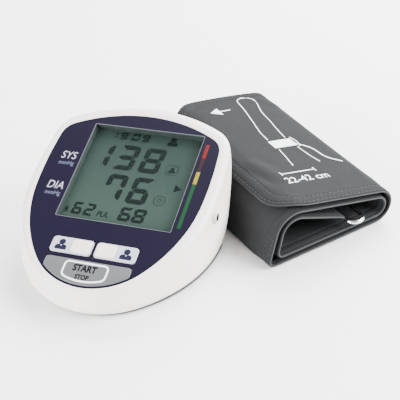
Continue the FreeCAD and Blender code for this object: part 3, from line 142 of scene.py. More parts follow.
class MonitorPanel(bpy.types.PropertyGroup):
    """The dark panel with its window, its print, its colour scale and the display behind it."""
    window: lengths("Window", "Left, right, bottom and top of the window", -35, 44, 0.4, 78.2)
    # the window's edge line is a painted highlight: a light line for the glint on the lens's edge
    window_edge: lengths("Window edge", "Corner radius and width of the window's bright edge",
                         0.8, 0.22)
    print_thick: length("Print thickness", "How far print stands on what carries it", 0.04)
    label_height: lengths("Label heights", "Capital height of the names and of the units",
                          6.3, 3.3)
    scale_place: lengths("Scale", "Left, right, bottom and top of the colour scale",
                         46.7, 49.2, 4.0, 71.4)
    scale_steps: lengths("Scale steps", "Where the scale's colours change, from the top",
                         59.8, 48.6, 38.6)
    navy: tint("Navy", "Colour of the panel", 0.0055, 0.0042, 0.0130)
    ink: tint("Ink", "Colour of the panel's names", 0.30, 0.31, 0.35)
    # painted highlight: this light grey stands for the glint on the lens's edge
    painted_edge_highlight: tint("Edge grey", "Colour of the window's bright edge", 0.12, 0.124, 0.14)
    # partly painted shade: the wall is coloured darker to stand for the shade in the window's
    # recess
    wall_painted_shade_grey: tint("Wall grey", "Colour of the wall round the display", 0.028, 0.040, 0.038)
    dim_ink: tint("Dim ink", "Colour of the panel's units", 0.10, 0.11, 0.17)
    glass_depth: length("Display depth", "Depth of the display under the face", 5)
    # painted shade: the display's top is coloured darker than its foot, as if in the shadow of the
    # window's upper wall
    display_shaded_top: tint("Display top", "Colour of the display's upper part", 0.021, 0.035, 0.032)
    display_low: tint("Display foot", "Colour of the display's lower part", 0.033, 0.055, 0.046)
    segment: tint("Segment", "Colour of the display's dark segments", 0.0035, 0.008, 0.007)
    slant: angle("Digit slant", "Lean of the digits", 5)
    scale_red: tint("Scale red", "Colour of the scale's top", 0.095, 0.003, 0.0025)
    scale_brown: tint("Scale brown", "Colour of the scale's second field", 0.012, 0.002, 0.004)
    scale_yellow: tint("Scale yellow", "Colour of the scale's third field", 0.19, 0.155, 0.008)
    scale_green: tint("Scale green", "Colour of the scale's lowest field", 0.0006, 0.030, 0.008)


class MonitorKeys(bpy.types.PropertyGroup):
    """The two user keys and the crescent start key."""
    user_size: lengths("User key", "Width and height of a user key", 28, 11.4)
    user_middle: lengths("User key place", "Half spacing and height of the keys", 14.95, -20.1)
    corner: length("Corner", "Corner radius of the keys", 2.6)
    proud: length("Proud", "How far the keys stand proud of the face", 0.3)
    pad: lengths("Pad", "Width, inset and rise of the raised pad", 13, 0.9, 0.8)
    depth: length("Key depth", "How far a key's cap reaches below the face", 3.9)
    start: lengths("Start key", "Half width, top and margin of the start key", 28.8, -28.9, 1.5)
    ridge: lengths("Ridge", "Half width, top, side and bottom of the raised outline",
                   14.3, -30.8, -39.5, -43.6)
    ridge_bead: lengths("Ridge bead", "Half width and rise of the raised outline's bead", 0.6, 0.5)
    edge: lengths("Key edges", "Rounding of a cap's edge and of a pad's edge", 0.5, 0.6)
    bust: lengths("Bust", "Distance from the key's middle, foot and height of a key's symbol",
                  6.9, -3.8, 7.7)
    start_height: lengths("Start lettering", "Capital heights of the start key's two words",
                          4.6, 3.3)
    start_place: lengths("Start lettering place", "Where the two words' middles lie", -34.6, -40.7)
    key_grey: tint("Key grey", "Colour of the user keys", 0.40, 0.40, 0.47)
    pad_cream: tint("Pad cream", "Colour of the raised pads", 0.72, 0.69, 0.64)
    start_grey: tint("Start grey", "Colour of the start key", 0.088, 0.090, 0.096)
    ridge_white: tint("Ridge white", "Colour of the raised outline", 0.80, 0.80, 0.80)
    symbol: tint("Symbol", "Colour of the symbols on the keys", 0.007, 0.007, 0.022)
    letter: tint("Letter", "Colour of the start key's lettering", 0.005, 0.005, 0.006)


class MonitorCuff(bpy.types.PropertyGroup):
    """The wound cuff, in its own frame: across the roll, along it, and up."""
    place: lengths("Place", "Where the cuff's frame stands", 99.7, 11.3, -0.8)
    turn: angle("Turn", "How far the cuff is turned about Z", 49)
    long: length("Length", "Length of the roll, which is the cuff's height", 150)
    rise: amount("Rise", "How much taller the low end stands at the roll's far end", 0.3, 1)
    layer: length("Layer", "Thickness of one padded layer", 4.2)
    slack: length("Slack", "Room between two layers", 0.5)
    shoulder: lengths("Shoulder", "Centre across, centre height and radius of the tall end",
                      22.5, 20.5, 22.9)
    nose: lengths("Nose", "Centre across, centre height and radius of the low end", 87.5, 14, 14)
    heel: lengths("Heel", "Centre across, centre height and radius of the turn under the tall end",
                  5.5, 6, 6)
    tail: lengths("Tail", "Centre across, centre height and radius of the inner end", 52, 8, 14)
    flap_angle: angle("Flap end", "Where the outer end lies on the tall end", 125)
    tail_angle: angle("Tail end", "Where the inner end lies on its circle", 40)
    flap_corner: length("Flap corner", "Radius of the flap's two corners", 24)
    hem_thick: length("Hem thickness", "Thickness of the bound hem", 2.6)
    rows: lengths("Stitch rows", "How far both rows of stitches lie from the edge", 1.9, 7.3)
    dip: lengths("Stitch dip", "Depth and half width of the dip along a row", 0.5, 0.8)
    crown: length("Crown", "How far from the inner row the padding is full", 14)
    edge_round: length("Edge round", "Width of the rounded edge", 1.2)
    stitch: lengths("Stitch", "Length, pitch and half thickness of a stitch", 2.3, 3.4, 0.26)
    piping: length("Piping", "Radius of the piping along the edge", 0.5)
    puff: lengths("Puff", "How far the padding may swell outside and between layers", 1.7, 0.12)
    fold: lengths("Fold", "Depth and half width of a soft fold", 1.25, 4.5)
    ring: lengths("Ring", "Wire radius, width and reach past the hem", 1.4, 11.5, 6.5)
    cell: lengths("Air cell", "Depth in the layer, thickness and inset of the air cell",
                  2.1, 2, 10)
    hook: lengths("Hook tape", "Depth in the layer, thickness and inset of the hook tape",
                  3.9, 1.2, 18)
    print_lift: lengths("Print", "How deep and how high the print lies on the cloth", -0.1, 0.24)
    print_line: length("Print line", "Width of the print's thin lines", 0.62)
    cloth: tint("Cloth", "Colour of the coated cloth", 0.0185, 0.0194, 0.0205)
    binding: tint("Binding", "Colour of the piping on the inner turns", 0.026, 0.0275, 0.029)
    thread: tint("Thread", "Colour of the stitching", 0.012, 0.013, 0.014)
    print_white: tint("Print white", "Colour of the print on the cuff", 0.82, 0.83, 0.84)


class MonitorStage(bpy.types.PropertyGroup):
    """The floor, the lights and the camera."""
    camera: lengths("Camera", "Where the camera stands", 217.2, -409.1, 366.1)
    lens: amount("Lens", "Focal length in millimetres on a 36 mm sensor", 79.86, 500)
    floor: tint("Floor", "Colour of the floor", 0.93, 0.925, 0.92)
    floor_half: length("Floor half", "Half the floor's side", 3000)
    sky: amount("Sky", "Strength of the light from all round", 0.85, 10)
    key_power: amount("Key light", "Power of the large light behind, in watts", 95, 1000)
    fill_power: amount("Fill light", "Power of the large light on the right, in watts", 105, 1000)
    front_power: amount("Front light", "Power of the low light in front, in watts", 90, 1000)
    front_place: lengths("Front place", "Where the low light in front stands", -900, -1100, 360)
    lamp_size: length("Lamp size", "Side of the square lamps", 1200)
    key_place: lengths("Key place", "Where the large light behind stands", 150, 1250, 950)
    fill_place: lengths("Fill place", "Where the large light on the right stands", 1350, 250, 850)
    aim: lengths("Aim", "The place that all lights face", 40, 40, 0)


def settings(part):
    """One part's settings: housing, panel, keys, cuff or stage."""
    return getattr(bpy.context.scene, "monitor_" + part)


# ---------------------------------------------------------------- places

def panel_space(flat):
    """Points (across, up, above the face) of the sloping panel, in the row's frame.

    The face is turned about X by its slope, so Y is the setback plus up times the cosine less
    above times the sine, and Z is the height plus up times the sine plus above times the cosine.
    """
    housing = settings("housing")
    lean = np.array([[1, 0, 0],
                     [0, math.cos(housing.panel_tilt), math.sin(housing.panel_tilt)],
                     [0, -math.sin(housing.panel_tilt), math.cos(housing.panel_tilt)]])
    return np.asarray(flat) @ lean + (0, housing.panel_setback, housing.panel_height)


def cuff_space(flat):
    """Points (across, along, up) of the wound cuff, in the row's frame: turned about Z.

    The roll isn't pulled tight at its far end, so z' = z (1 + r (y / l)^1.3 x / n) with the rise
    r, the roll's length l and the low end's place n.
    """
    cuff = settings("cuff")
    flat = np.array(flat, float)
    share = (np.clip(flat[..., 1] / cuff.long, 0, 1) ** 1.3
             * np.clip(flat[..., 0] / cuff.nose[0], 0, 1))
    flat[..., 2] *= 1 + cuff.rise * share
    side, front = math.cos(cuff.turn), math.sin(cuff.turn)
    turn = np.array([[side, front, 0], [-front, side, 0], [0, 0, 1]])
    return flat @ turn + np.array(cuff.place)


# ---------------------------------------------------------------- meshes

def new_object(name, data):
    """An object in the scene that holds some data."""
    made = bpy.data.objects.new(name, data)
    bpy.context.scene.collection.objects.link(made)
    return made


def new_mesh(name, points, faces, solid=True):
    """A mesh from points and faces; a closed solid has all faces turned outwards."""
    mesh = bpy.data.meshes.new(name)
    mesh.from_pydata(np.asarray(points, float), [], faces)
    if solid:
        turned = bmesh.new()
        turned.from_mesh(mesh)
        bmesh.ops.recalc_face_normals(turned, faces=turned.faces)
        turned.to_mesh(mesh)
        turned.free()
    return mesh


def applied_mesh(shape):
    """The mesh that an object shows, with its modifiers or its lettering applied."""
    shown = shape.evaluated_get(bpy.context.evaluated_depsgraph_get())
    return bpy.data.meshes.new_from_object(shown)


def mesh_points(mesh):
    """A mesh's points as an array."""
    points = np.empty(len(mesh.vertices) * 3)
    mesh.vertices.foreach_get("co", points)
    return points.reshape(-1, 3)


def add_piece(name, points, faces, material, body, sharp=SHARP, solid=True, uv=None):
    """A mesh piece at the origin that rides on a body; its flat map is given point by point."""
    mesh = new_mesh(name, points, faces, solid)
    if uv is not None:
        layer = mesh.uv_layers.new(name="cloth")
        corner = np.zeros(len(mesh.loops), np.int32)
        mesh.loops.foreach_get("vertex_index", corner)
        layer.data.foreach_set("uv", uv[corner].astype(np.float32).ravel())
    return place_piece(name, mesh, material, body, sharp)


def place_piece(name, mesh, material, body, sharp=SHARP):
    """Show a finished mesh, smooth apart from edges sharper than an angle."""
    mesh.shade_smooth()
    mesh.set_sharp_from_angle(angle=sharp)
    mesh.materials.clear()
    mesh.materials.append(material)
    piece = new_object(name, mesh)
    if body:
        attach(piece, body)
    return piece


def unit(rows):
    """Directions made one long."""
    return rows / np.linalg.norm(rows, axis=1, keepdims=True)


def compass(turn):
    """Flat directions of length one at some angles: the cosine and the sine."""
    return np.column_stack((np.cos(turn), np.sin(turn)))


def leftward(way):
    """Flat directions after a quarter turn to the left."""
    return np.stack((-way[..., 1], way[..., 0]), -1)


def at_height(flat, height):
    """Flat points, all at one height."""
    return np.column_stack((flat, np.full(len(flat), height)))


def walked(points):
    """How far along a line each of its points lies."""
    steps = np.linalg.norm(np.diff(points, axis=0), axis=1)
    return np.concatenate(([0], np.cumsum(steps)))


def hermite(start, end, leave, arrive, share):
    """Places at shares of the way between two, with given tangents there (a Hermite cubic)."""
    square, cube = share ** 2, share ** 3
    return ((2 * cube - 3 * square + 1) * start + (cube - 2 * square + share) * leave
            + (3 * square - 2 * cube) * end + (cube - square) * arrive)


def ring_faces(count, around):
    """Quads between closed rings of points that follow each other."""
    index = np.arange(count * around).reshape(count, around)
    after = np.roll(index, -1, axis=1)
    return np.stack((index[:-1], after[:-1], after[1:], index[1:]), -1).reshape(-1, 4).tolist()


def ring_loop(rings):
    """A closed solid from rings of equal length, of which the last joins the first."""
    count, around = rings.shape[:2]
    faces = np.array(ring_faces(count + 1, around)) % (count * around)
    return rings.reshape(-1, 3), faces.tolist()


def ring_solid(rings):
    """A closed solid from rings of equal length, with a fan to the middle of each end ring."""
    count, around = rings.shape[:2]
    points = np.vstack((rings.reshape(-1, 3), rings[0].mean(0), rings[-1].mean(0)))
    ring = np.arange(around)
    after = np.roll(ring, -1)
    low = np.column_stack((after, ring, np.full(around, count * around)))
    high = np.column_stack((ring, after, np.full(around, count * around + 1)))
    high[:, :2] += (count - 1) * around
    return points, ring_faces(count, around) + low.tolist() + high.tolist()


def tube(path, radius, sides, closed=False, first=None):
    """A round tube along a path: circles in the plane across the path's direction.

    The circle's first axis is given, or is the direction crossed with a fixed vector that the
    path never follows, and the second is the direction crossed with the first.
    """
    path = np.asarray(path, float)
    along = np.gradient(path, axis=0)
    if closed:
        along = np.roll(path, -1, 0) - np.roll(path, 1, 0)
    along = unit(along)
    if first is None:
        first = unit(np.cross(along, np.eye(3)[np.argmin(np.abs(along).max(0))]))
    second = np.cross(along, first)
    turn = np.linspace(0, 2 * np.pi, sides, endpoint=False)[:, None]
    circles = np.cos(turn) * first[:, None] + np.sin(turn) * second[:, None]
    rings = path[:, None] + radius * circles
    return ring_loop(rings) if closed else ring_solid(rings)


def prism(loop, low, high):
    """A plate with a flat outline between two heights."""
    count = len(loop)
    points = np.vstack((at_height(loop, low), at_height(loop, high)))
    ring = np.arange(count)
    after = np.roll(ring, -1)
    sides = np.column_stack((ring, after, after + count, ring + count)).tolist()
    return points, sides + [ring[::-1].tolist(), (ring + count).tolist()]


def several(solids):
    """Several solids, each points and faces, as one."""
    points, faces, start = [], [], 0
    for corners, sides in solids:
        points.append(corners)
        faces += [[index + start for index in side] for side in sides]
        start += len(corners)
    return np.vstack(points), faces


def moved(solid, change):
    """A solid with its points put through a function."""
    return change(solid[0]), solid[1]


def arc(centre, radius, start, end, count):
    """Points on a circle between two angles."""
    return np.array(centre) + radius * compass(np.linspace(start, end, count))


def full_circle(centre, radius, count):
    """Points all round a circle."""
    return arc(centre, radius, 0, 2 * math.pi, count + 1)[:-1]


def rounded(left, right, low, high, radius, count=8):
    """A rectangle with round corners, counter-clockwise."""
    centres = ((right - radius, low + radius), (right - radius, high - radius),
               (left + radius, high - radius), (left + radius, low + radius))
    quarters = [arc(centre, radius, (turn - 1) * math.pi / 2, turn * math.pi / 2, count)
                for turn, centre in enumerate(centres)]
    return np.vstack(quarters)


def inward(loop, distance):
    """A counter-clockwise outline moved inwards, each point along the mean normal of its sides."""
    return loop + distance * leftward(unit(np.roll(loop, -1, 0) - np.roll(loop, 1, 0)))


def stepped(loop, steps):
    """Rings of an outline carried through steps of (inset, height)."""
    return np.array([at_height(inward(loop, inset), height) for inset, height in steps])


def soft_edge(low, high, radius, count=6):
    """Steps of (inset, height) up a wall and round its upper edge, a quarter circle."""
    turn = np.linspace(0, math.pi / 2, count)
    edge = np.column_stack((radius * (1 - np.cos(turn)), high - radius * (1 - np.sin(turn))))
    return [(0, low)] + edge.tolist()


# ---------------------------------------------------------------- materials

def link(tree, value, socket):
    """Join a socket to another, or set it to a plain value."""
    if isinstance(value, bpy.types.NodeSocket):
        tree.links.new(value, socket)
    elif hasattr(value, "__len__") and len(value) == 3 and socket.type == "RGBA":
        socket.default_value = (*value, 1)
    else:
        socket.default_value = value


def node(tree, kind, inputs=(), **options):
    """Add a node, set its options, and join or set its inputs by name or number."""
    made = tree.nodes.new(kind)
    for option, value in options.items():
        setattr(made, option, value)
    for name, value in dict(inputs).items():
        link(tree, value, made.inputs[name])
    return made


def compute(tree, operation, *values):
    """A Math node's result."""
    made = node(tree, "ShaderNodeMath", enumerate(values), operation=operation)
    return made.outputs[0]


def blend(tree, share, low, high):
    """A colour between two, by a share from 0 to 1."""
    made = tree.nodes.new("ShaderNodeMix")
    made.data_type = "RGBA"
    for name, value in (("Factor", share), ("A", low), ("B", high)):
        socket = [s for s in made.inputs if s.name == name and s.enabled][0]
        link(tree, value, socket)
    return [s for s in made.outputs if s.enabled][0]


def noise(tree, place, scale, detail, rough=0.5):
    """A Noise texture's value at a place."""
    return node(tree, "ShaderNodeTexNoise", {"Vector": place, "Scale": scale, "Detail": detail,
                                             "Roughness": rough}).outputs["Fac"]


def new_group(name, inputs, outputs):
    """An empty shader node group with named sockets, and its two end nodes."""
    tree = bpy.data.node_groups.new(name, "ShaderNodeTree")
    for label, kind in inputs:
        tree.interface.new_socket(label, in_out="INPUT", socket_type="NodeSocket" + kind)
    for label, kind in outputs:
        tree.interface.new_socket(label, in_out="OUTPUT", socket_type="NodeSocket" + kind)
    return tree, tree.nodes.new("NodeGroupInput").outputs, tree.nodes.new("NodeGroupOutput").inputs


def moulded_group():
    """Spark-eroded plastic: a fine grain for the bump, and slow marks that dull the gloss."""
    tree, given, out = new_group("moulded_grain",
                                 [("Place", "Vector"), ("Grain", "Float"), ("Marks", "Float")],
                                 [("Height", "Float"), ("Dull", "Float"), ("Tone", "Float")])
    fine = noise(tree, given["Place"], given["Grain"], detail=3.0, rough=0.6)
    slow = noise(tree, given["Place"], given["Marks"], detail=4.0, rough=0.55)
    tree.links.new(fine, out["Height"])
    tree.links.new(compute(tree, "MULTIPLY_ADD", slow, 0.5, compute(tree, "MULTIPLY", fine, 0.5)),
                   out["Dull"])
    tree.links.new(compute(tree, "SUBTRACT", slow, 0.5), out["Tone"])
    return tree


def weave_group():
    """Plain weave from a flat place in metres: the product of two sine waves, one thread apart.

    Over stands for the threads that lie on top, and Slub for the uneven ones.
    """
    tree, given, out = new_group("cloth_weave", [("Place", "Vector"), ("Threads", "Float")],
                                 [("Height", "Float"), ("Over", "Float"), ("Slub", "Float")])
    parts = node(tree, "ShaderNodeSeparateXYZ", {0: given["Place"]}).outputs
    waves = []
    for axis in (0, 1):
        turn = compute(tree, "MULTIPLY", parts[axis], given["Threads"])
        waves.append(compute(tree, "SINE", compute(tree, "MULTIPLY", turn, math.pi)))
    over = compute(tree, "MULTIPLY_ADD", compute(tree, "MULTIPLY", *waves), 0.5, 0.5)
    slub = noise(tree, given["Place"], 260.0, detail=3.0, rough=0.7)
    tree.links.new(compute(tree, "MULTIPLY_ADD", slub, 0.5, over), out["Height"])
    tree.links.new(over, out["Over"])
    tree.links.new(slub, out["Slub"])
    return tree


def grouped(tree, name, **inputs):
    """A shared node group placed in a material."""
    if name not in bpy.data.node_groups:
        {"moulded_grain": moulded_group, "cloth_weave": weave_group}[name]()
    made = tree.nodes.new("ShaderNodeGroup")
    made.node_tree = bpy.data.node_groups[name]
    for socket, value in inputs.items():
        link(tree, value, made.inputs[socket])
    return made.outputs


FINISHES = {}


def new_material(name, **fixed):
    """A material with a Principled shader whose plain values are set on its own sockets."""
    material = FINISHES[name] = bpy.data.materials.new(name + "_finish")
    material.use_nodes = True
    tree = material.node_tree
    shader = tree.nodes["Principled BSDF"]
    for label, value in fixed.items():
        link(tree, value, shader.inputs[label.replace("_", " ")])
    return material, tree, shader.inputs


def object_place(tree):
    """Where a point lies on its object, in metres."""
    return tree.nodes.new("ShaderNodeTexCoord").outputs["Object"]


def bump(tree, height, depth, shader):
    """Raise a surface by a height from 0 to 1, whose reach is given in metres."""
    raised = node(tree, "ShaderNodeBump", {"Height": height, "Distance": depth})
    tree.links.new(raised.outputs[0], shader["Normal"])


def gloss(tree, mask, rough, swing, shader):
    """Let the roughness swing round its middle with a mask from 0 to 1."""
    tree.links.new(compute(tree, "MULTIPLY_ADD", mask, swing, rough - swing / 2),
                   shader["Roughness"])


def toned(colour, share):
    """A colour times a share, never past full."""
    return [min(value * share, 1) for value in colour]


MARKS = 38.0                    # gloss marks of moulded plastic, per metre
MOULDED = 0.02 * MM             # bump depth of moulded plastic and of drawn metal
PRINTED = 0.004 * MM            # bump depth of print and of thin bright edges
STREAKS = (60.0, 60.0, 1400.0)  # noise scales along and across a metal's streaks
DULLED = 0.86                   # tone of a metal's darkest streaks
THREADS = 1700.0                # threads of the cuff's cloth, per metre
WOVEN = 0.12 * MM               # bump depth of the weave
WEAVE_TONES = 0.78, 1.28, 1.3   # tones of the cloth's gaps, its threads and its faded places
FADING = 0.35                   # how far the cloth fades at most


def plastic(name, colour, rough, grain=2600.0, depth=MOULDED, spread=0.06, **fixed):
    """Moulded plastic, rubber or printed ink: grain, gloss marks and a slight drift of tone."""
    if name in FINISHES:
        return FINISHES[name]
    material, tree, shader = new_material(name, **fixed)
    given = grouped(tree, "moulded_grain", Place=object_place(tree), Grain=grain, Marks=MARKS)
    drift = compute(tree, "MULTIPLY_ADD", given["Tone"], 4 * spread, 0.5)
    tree.links.new(blend(tree, drift, toned(colour, 1 - spread), toned(colour, 1 + spread)),
                   shader["Base Color"])
    gloss(tree, given["Dull"], rough, 0.16, shader)
    bump(tree, given["Height"], depth, shader)
    return material


def metal(name, colour, rough):
    """Drawn or rolled metal: streaks from noise that is stretched along one direction."""
    if name in FINISHES:
        return FINISHES[name]
    material, tree, shader = new_material(name, Metallic=1.0)
    place = node(tree, "ShaderNodeMapping", {"Vector": object_place(tree), "Scale": STREAKS})
    streak = noise(tree, place.outputs[0], 1.0, detail=4.0, rough=0.6)
    tree.links.new(blend(tree, streak, toned(colour, DULLED), colour), shader["Base Color"])
    gloss(tree, streak, rough, 0.2, shader)
    bump(tree, streak, MOULDED, shader)
    return material


def cloth(name, colour, rough, **fixed):
    """Coated woven cloth on the piece's flat map, in metres: threads, slubs and slow fading."""
    material, tree, shader = new_material(name, **fixed)
    flat = node(tree, "ShaderNodeUVMap", uv_map="cloth").outputs[0]
    given = grouped(tree, "cloth_weave", Place=flat, Threads=THREADS)
    fade = noise(tree, object_place(tree), 22.0, detail=5.0, rough=0.6)
    gap, thread, faded = (toned(colour, tone) for tone in WEAVE_TONES)
    woven = blend(tree, compute(tree, "MULTIPLY", given["Over"], given["Slub"]), gap, thread)
    tree.links.new(blend(tree, compute(tree, "MULTIPLY", fade, FADING), woven, faded),
                   shader["Base Color"])
    gloss(tree, given["Slub"], rough, 0.2, shader)
    bump(tree, given["Height"], WOVEN, shader)
    return material


def assign(name, material):
    """Give a CAD node its finish."""
    mesh = NODES[name].data
    mesh.materials.clear()
    mesh.materials.append(material)


# ---------------------------------------------------------------- the housing

def circles_meet(first, first_radius, second, second_radius, rank):
    """The point at two distances from two centres that ranks highest of the two such points."""
    apart = second - first
    reach = np.hypot(*apart)
    along = (first_radius ** 2 - second_radius ** 2 + reach ** 2) / (2 * reach)
    aside = math.sqrt(max(first_radius ** 2 - along ** 2, 0))
    middle = first + apart * along / reach
    normal = leftward(apart) / reach
    return max((middle + normal * aside, middle - normal * aside), key=rank)


def outline(reach, radii, facing):
    """A housing outline's points, found by the direction that the outline faces there.

    Each half is five arcs that run into each other, and each arc covers a range of directions.
    A point is the centre of the arc that covers its direction plus that arc's radius along it.
    """
    front, back, half, widest = reach
    radii = np.array(radii)
    low = np.array((0, front + radii[0]))
    side = np.array((half - radii[2], widest))
    high = np.array((0, back - radii[4]))
    joint = circles_meet(low, radii[1] - radii[0], side, radii[2] - radii[1], lambda p: p[1])
    corner = circles_meet(side, radii[2] - radii[3], high, radii[4] - radii[3], lambda p: p[0])
    centres = np.array((low, joint, side, corner, high))
    lines = np.array((low - joint, joint - side, corner - side, corner - high))
    meets = np.arctan2(lines[:, 1], lines[:, 0])
    folded = np.where(facing > np.pi / 2, np.pi - facing, facing)
    arc_of = np.searchsorted(meets, folded)
    points = centres[arc_of] + radii[arc_of, None] * compass(folded)
    points[:, 0] *= np.where(facing > np.pi / 2, -1, 1)
    return points


def facings(reach, radii, count):
    """Directions whose points lie evenly spaced round an outline, from the front and round."""
    fine = np.linspace(-np.pi / 2, np.pi / 2, 4000)
    along = walked(outline(reach, radii, fine))
    half = np.interp(np.linspace(0, along[-1], count // 2 + 1), along, fine)
    return np.concatenate((half, np.pi - half[-2:0:-1]))


def side_rings(housing, facing, inset, depth, rows):
    """The shell's wall from its foot to its rim: one smooth curve through three outlines.

    Through the belly the curve runs parallel to the line from foot to rim, and it arrives at the
    rim along the panel's normal, where the rounded rim takes over.
    """
    shrink = np.array((inset, -inset, -inset, 0))

    def ring(part, place):
        flat = outline(np.array(getattr(housing, part + "_reach")) + shrink,
                       np.array(getattr(housing, part + "_radii")) - inset, facing)
        return place(flat)

    lean = housing.belly_tilt
    foot = ring("base", lambda p: at_height(p, housing.foot_height))
    belly = ring("belly", lambda p: np.column_stack((
        p[:, 0], housing.panel_setback + p[:, 1] * math.cos(lean),
        housing.belly_height + p[:, 1] * math.sin(lean))))
    rim = ring("rim", lambda p: panel_space(at_height(p, -depth)))
    up = unit(rim - foot)
    lower = np.linalg.norm(belly - foot, axis=1, keepdims=True)
    upper = np.linalg.norm(rim - belly, axis=1, keepdims=True)
    normal = panel_space((0, 0, 1)) - panel_space((0, 0, 0))
    share = np.linspace(0, 1, rows)[:, None, None]
    low = hermite(foot, belly, 2 * (belly - foot) - up * lower, up * lower, share)
    high = hermite(belly, rim, up * upper, normal * upper, share[1:])
    return np.concatenate((low, high))


def shell_rings(housing, count=288, rows=14):
    """Rings of the whole shell.

    They run from the middle of the deck's underside down the inner wall, up the outer wall, over
    the rounded rim, which is a quarter ellipse between the rim's and the crest's outlines, round
    the panel's eased edge, and down onto the deck's upper side.
    """
    facing = facings(housing.rim_reach, housing.rim_radii, count)
    under = housing.panel_thick + housing.deck
    inner = side_rings(housing, facing, housing.wall, under, rows // 2)[::-1]
    outer = side_rings(housing, facing, 0, housing.rim_round, rows)
    rim = outline(housing.rim_reach, housing.rim_radii, facing)
    crest = outline(housing.crest_reach, housing.crest_radii, facing)
    roll = []
    for turn in np.linspace(0, np.pi / 2, 10)[1:]:
        flat = crest + (rim - crest) * math.cos(turn)
        roll.append((flat, -housing.rim_round * (1 - math.sin(turn))))
    edge = outline(housing.panel_reach, housing.panel_radii, facing)
    ease = 0.3 * MM
    for turn in np.linspace(0, np.pi / 2, 4):
        roll.append((inward(edge, -ease * (1 - math.sin(turn))), ease * (math.cos(turn) - 1)))
    roll.append((edge, -housing.panel_thick))
    middle = edge.mean(0)
    roll += [(middle + (edge - middle) * share, -housing.panel_thick)
             for share in (0.8, 0.5, 0.2)]
    inside = outline(np.array(housing.rim_reach) + (housing.wall, -housing.wall, -housing.wall, 0),
                     np.array(housing.rim_radii) - housing.wall, facing)
    below = [(middle + (inside - middle) * share, -under) for share in (0.2, 0.6)]
    under_rings, over_rings = ([panel_space(at_height(flat, high)) for flat, high in steps]
                               for steps in (below, roll))
    return np.concatenate((under_rings, inner, outer, over_rings))


def crescent(keys, housing, gap=0.0):
    """The start key's outline: flat top, round corners and an arc parallel to the panel's edge."""
    half, top, margin = keys.start
    half, top = half + gap, top + gap
    radius = housing.panel_radii[0] - margin + gap
    centre = np.array((0, housing.panel_reach[0] + housing.panel_radii[0]))
    corner = keys.corner + gap
    down = -math.sqrt((radius - corner) ** 2 - (half - corner) ** 2)
    foot = np.array((half - corner, centre[1] + down))
    swing = math.atan2(down, half - corner)
    points = [arc(centre, radius, -math.pi - swing, swing, 48),
              arc(foot, corner, swing, 0, 6),
              arc((half - corner, top - corner), corner, 0, math.pi / 2, 7),
              arc((corner - half, top - corner), corner, math.pi / 2, math.pi, 7),
              arc((-foot[0], foot[1]), corner, math.pi, math.pi - swing, 6)]
    loop = np.vstack(points)
    apart = np.hypot(*(np.roll(loop, -1, 0) - loop).T)
    return loop[apart > 0.0001 * MM]


def user_bounds(keys, side, gap=0.0):
    """Left, right, bottom and top of the left (-1) or right (1) user key."""
    across, up = keys.user_middle[0] * side, keys.user_middle[1]
    half, tall = keys.user_size[0] / 2 + gap, keys.user_size[1] / 2 + gap
    return across - half, across + half, up - tall, up + tall


def box_loop(left, right, low, high):
    """A rectangle's corners, counter-clockwise."""
    return np.array(((left, low), (right, low), (right, high), (left, high)))


def housing_cutters(housing, panel, keys):
    """What is cut out of the shell, as two closed solids.

    The first holds the openings in the deck, both socket holes in the side walls, and the way
    for the battery door under the rear wall. The second is the clear window's seat.
    """
    fit, past = housing.fit, 1 * MM
    wall_shares = 0.76, 1.2     # where a socket hole starts and ends, of the belly's half width
    under = -(housing.panel_thick + housing.deck + past)
    left, right, low, high = panel.window
    loops = [box_loop(left, right, low, high), crescent(keys, housing, fit)]
    loops += [box_loop(*user_bounds(keys, side, fit)) for side in (-1, 1)]
    through = [moved(prism(loop, under, past), panel_space) for loop in loops]
    half = housing.belly_reach[2]
    for (back, height, radius), side in ((housing.jack, 1), (housing.socket, -1)):
        circle = full_circle((back, height), radius + fit, 48)
        reach = sorted(side * half * share for share in wall_shares)
        through.append(moved(prism(circle, *reach), lambda p: p[:, [2, 0, 1]]))
    wide, long, tall = housing.door_way
    back = housing.base_reach[1]
    way = box_loop(-wide - fit, wide + fit, back - long, back + 5 * past)
    through.append(prism(way, -past, tall))
    lip = housing.lens_lip + fit
    seat = moved(prism(box_loop(left - lip, right + lip, low - lip, high + lip),
                       -(housing.panel_thick + housing.lens_thick + fit),
                       0.5 * past - housing.panel_thick), panel_space)
    return [several(through), seat]


def cut_out(mesh, cutter):
    """A mesh with a closed solid cut out of it."""
    holders = [new_object("cut", data) for data in (mesh, new_mesh("cutter", *cutter))]
    cut = holders[0].modifiers.new("cut", "BOOLEAN")
    cut.operation = "DIFFERENCE"
    cut.object = holders[1]
    cut.solver = "EXACT"
    result = applied_mesh(holders[0])
    for holder in holders:
        bpy.data.objects.remove(holder)
    return result


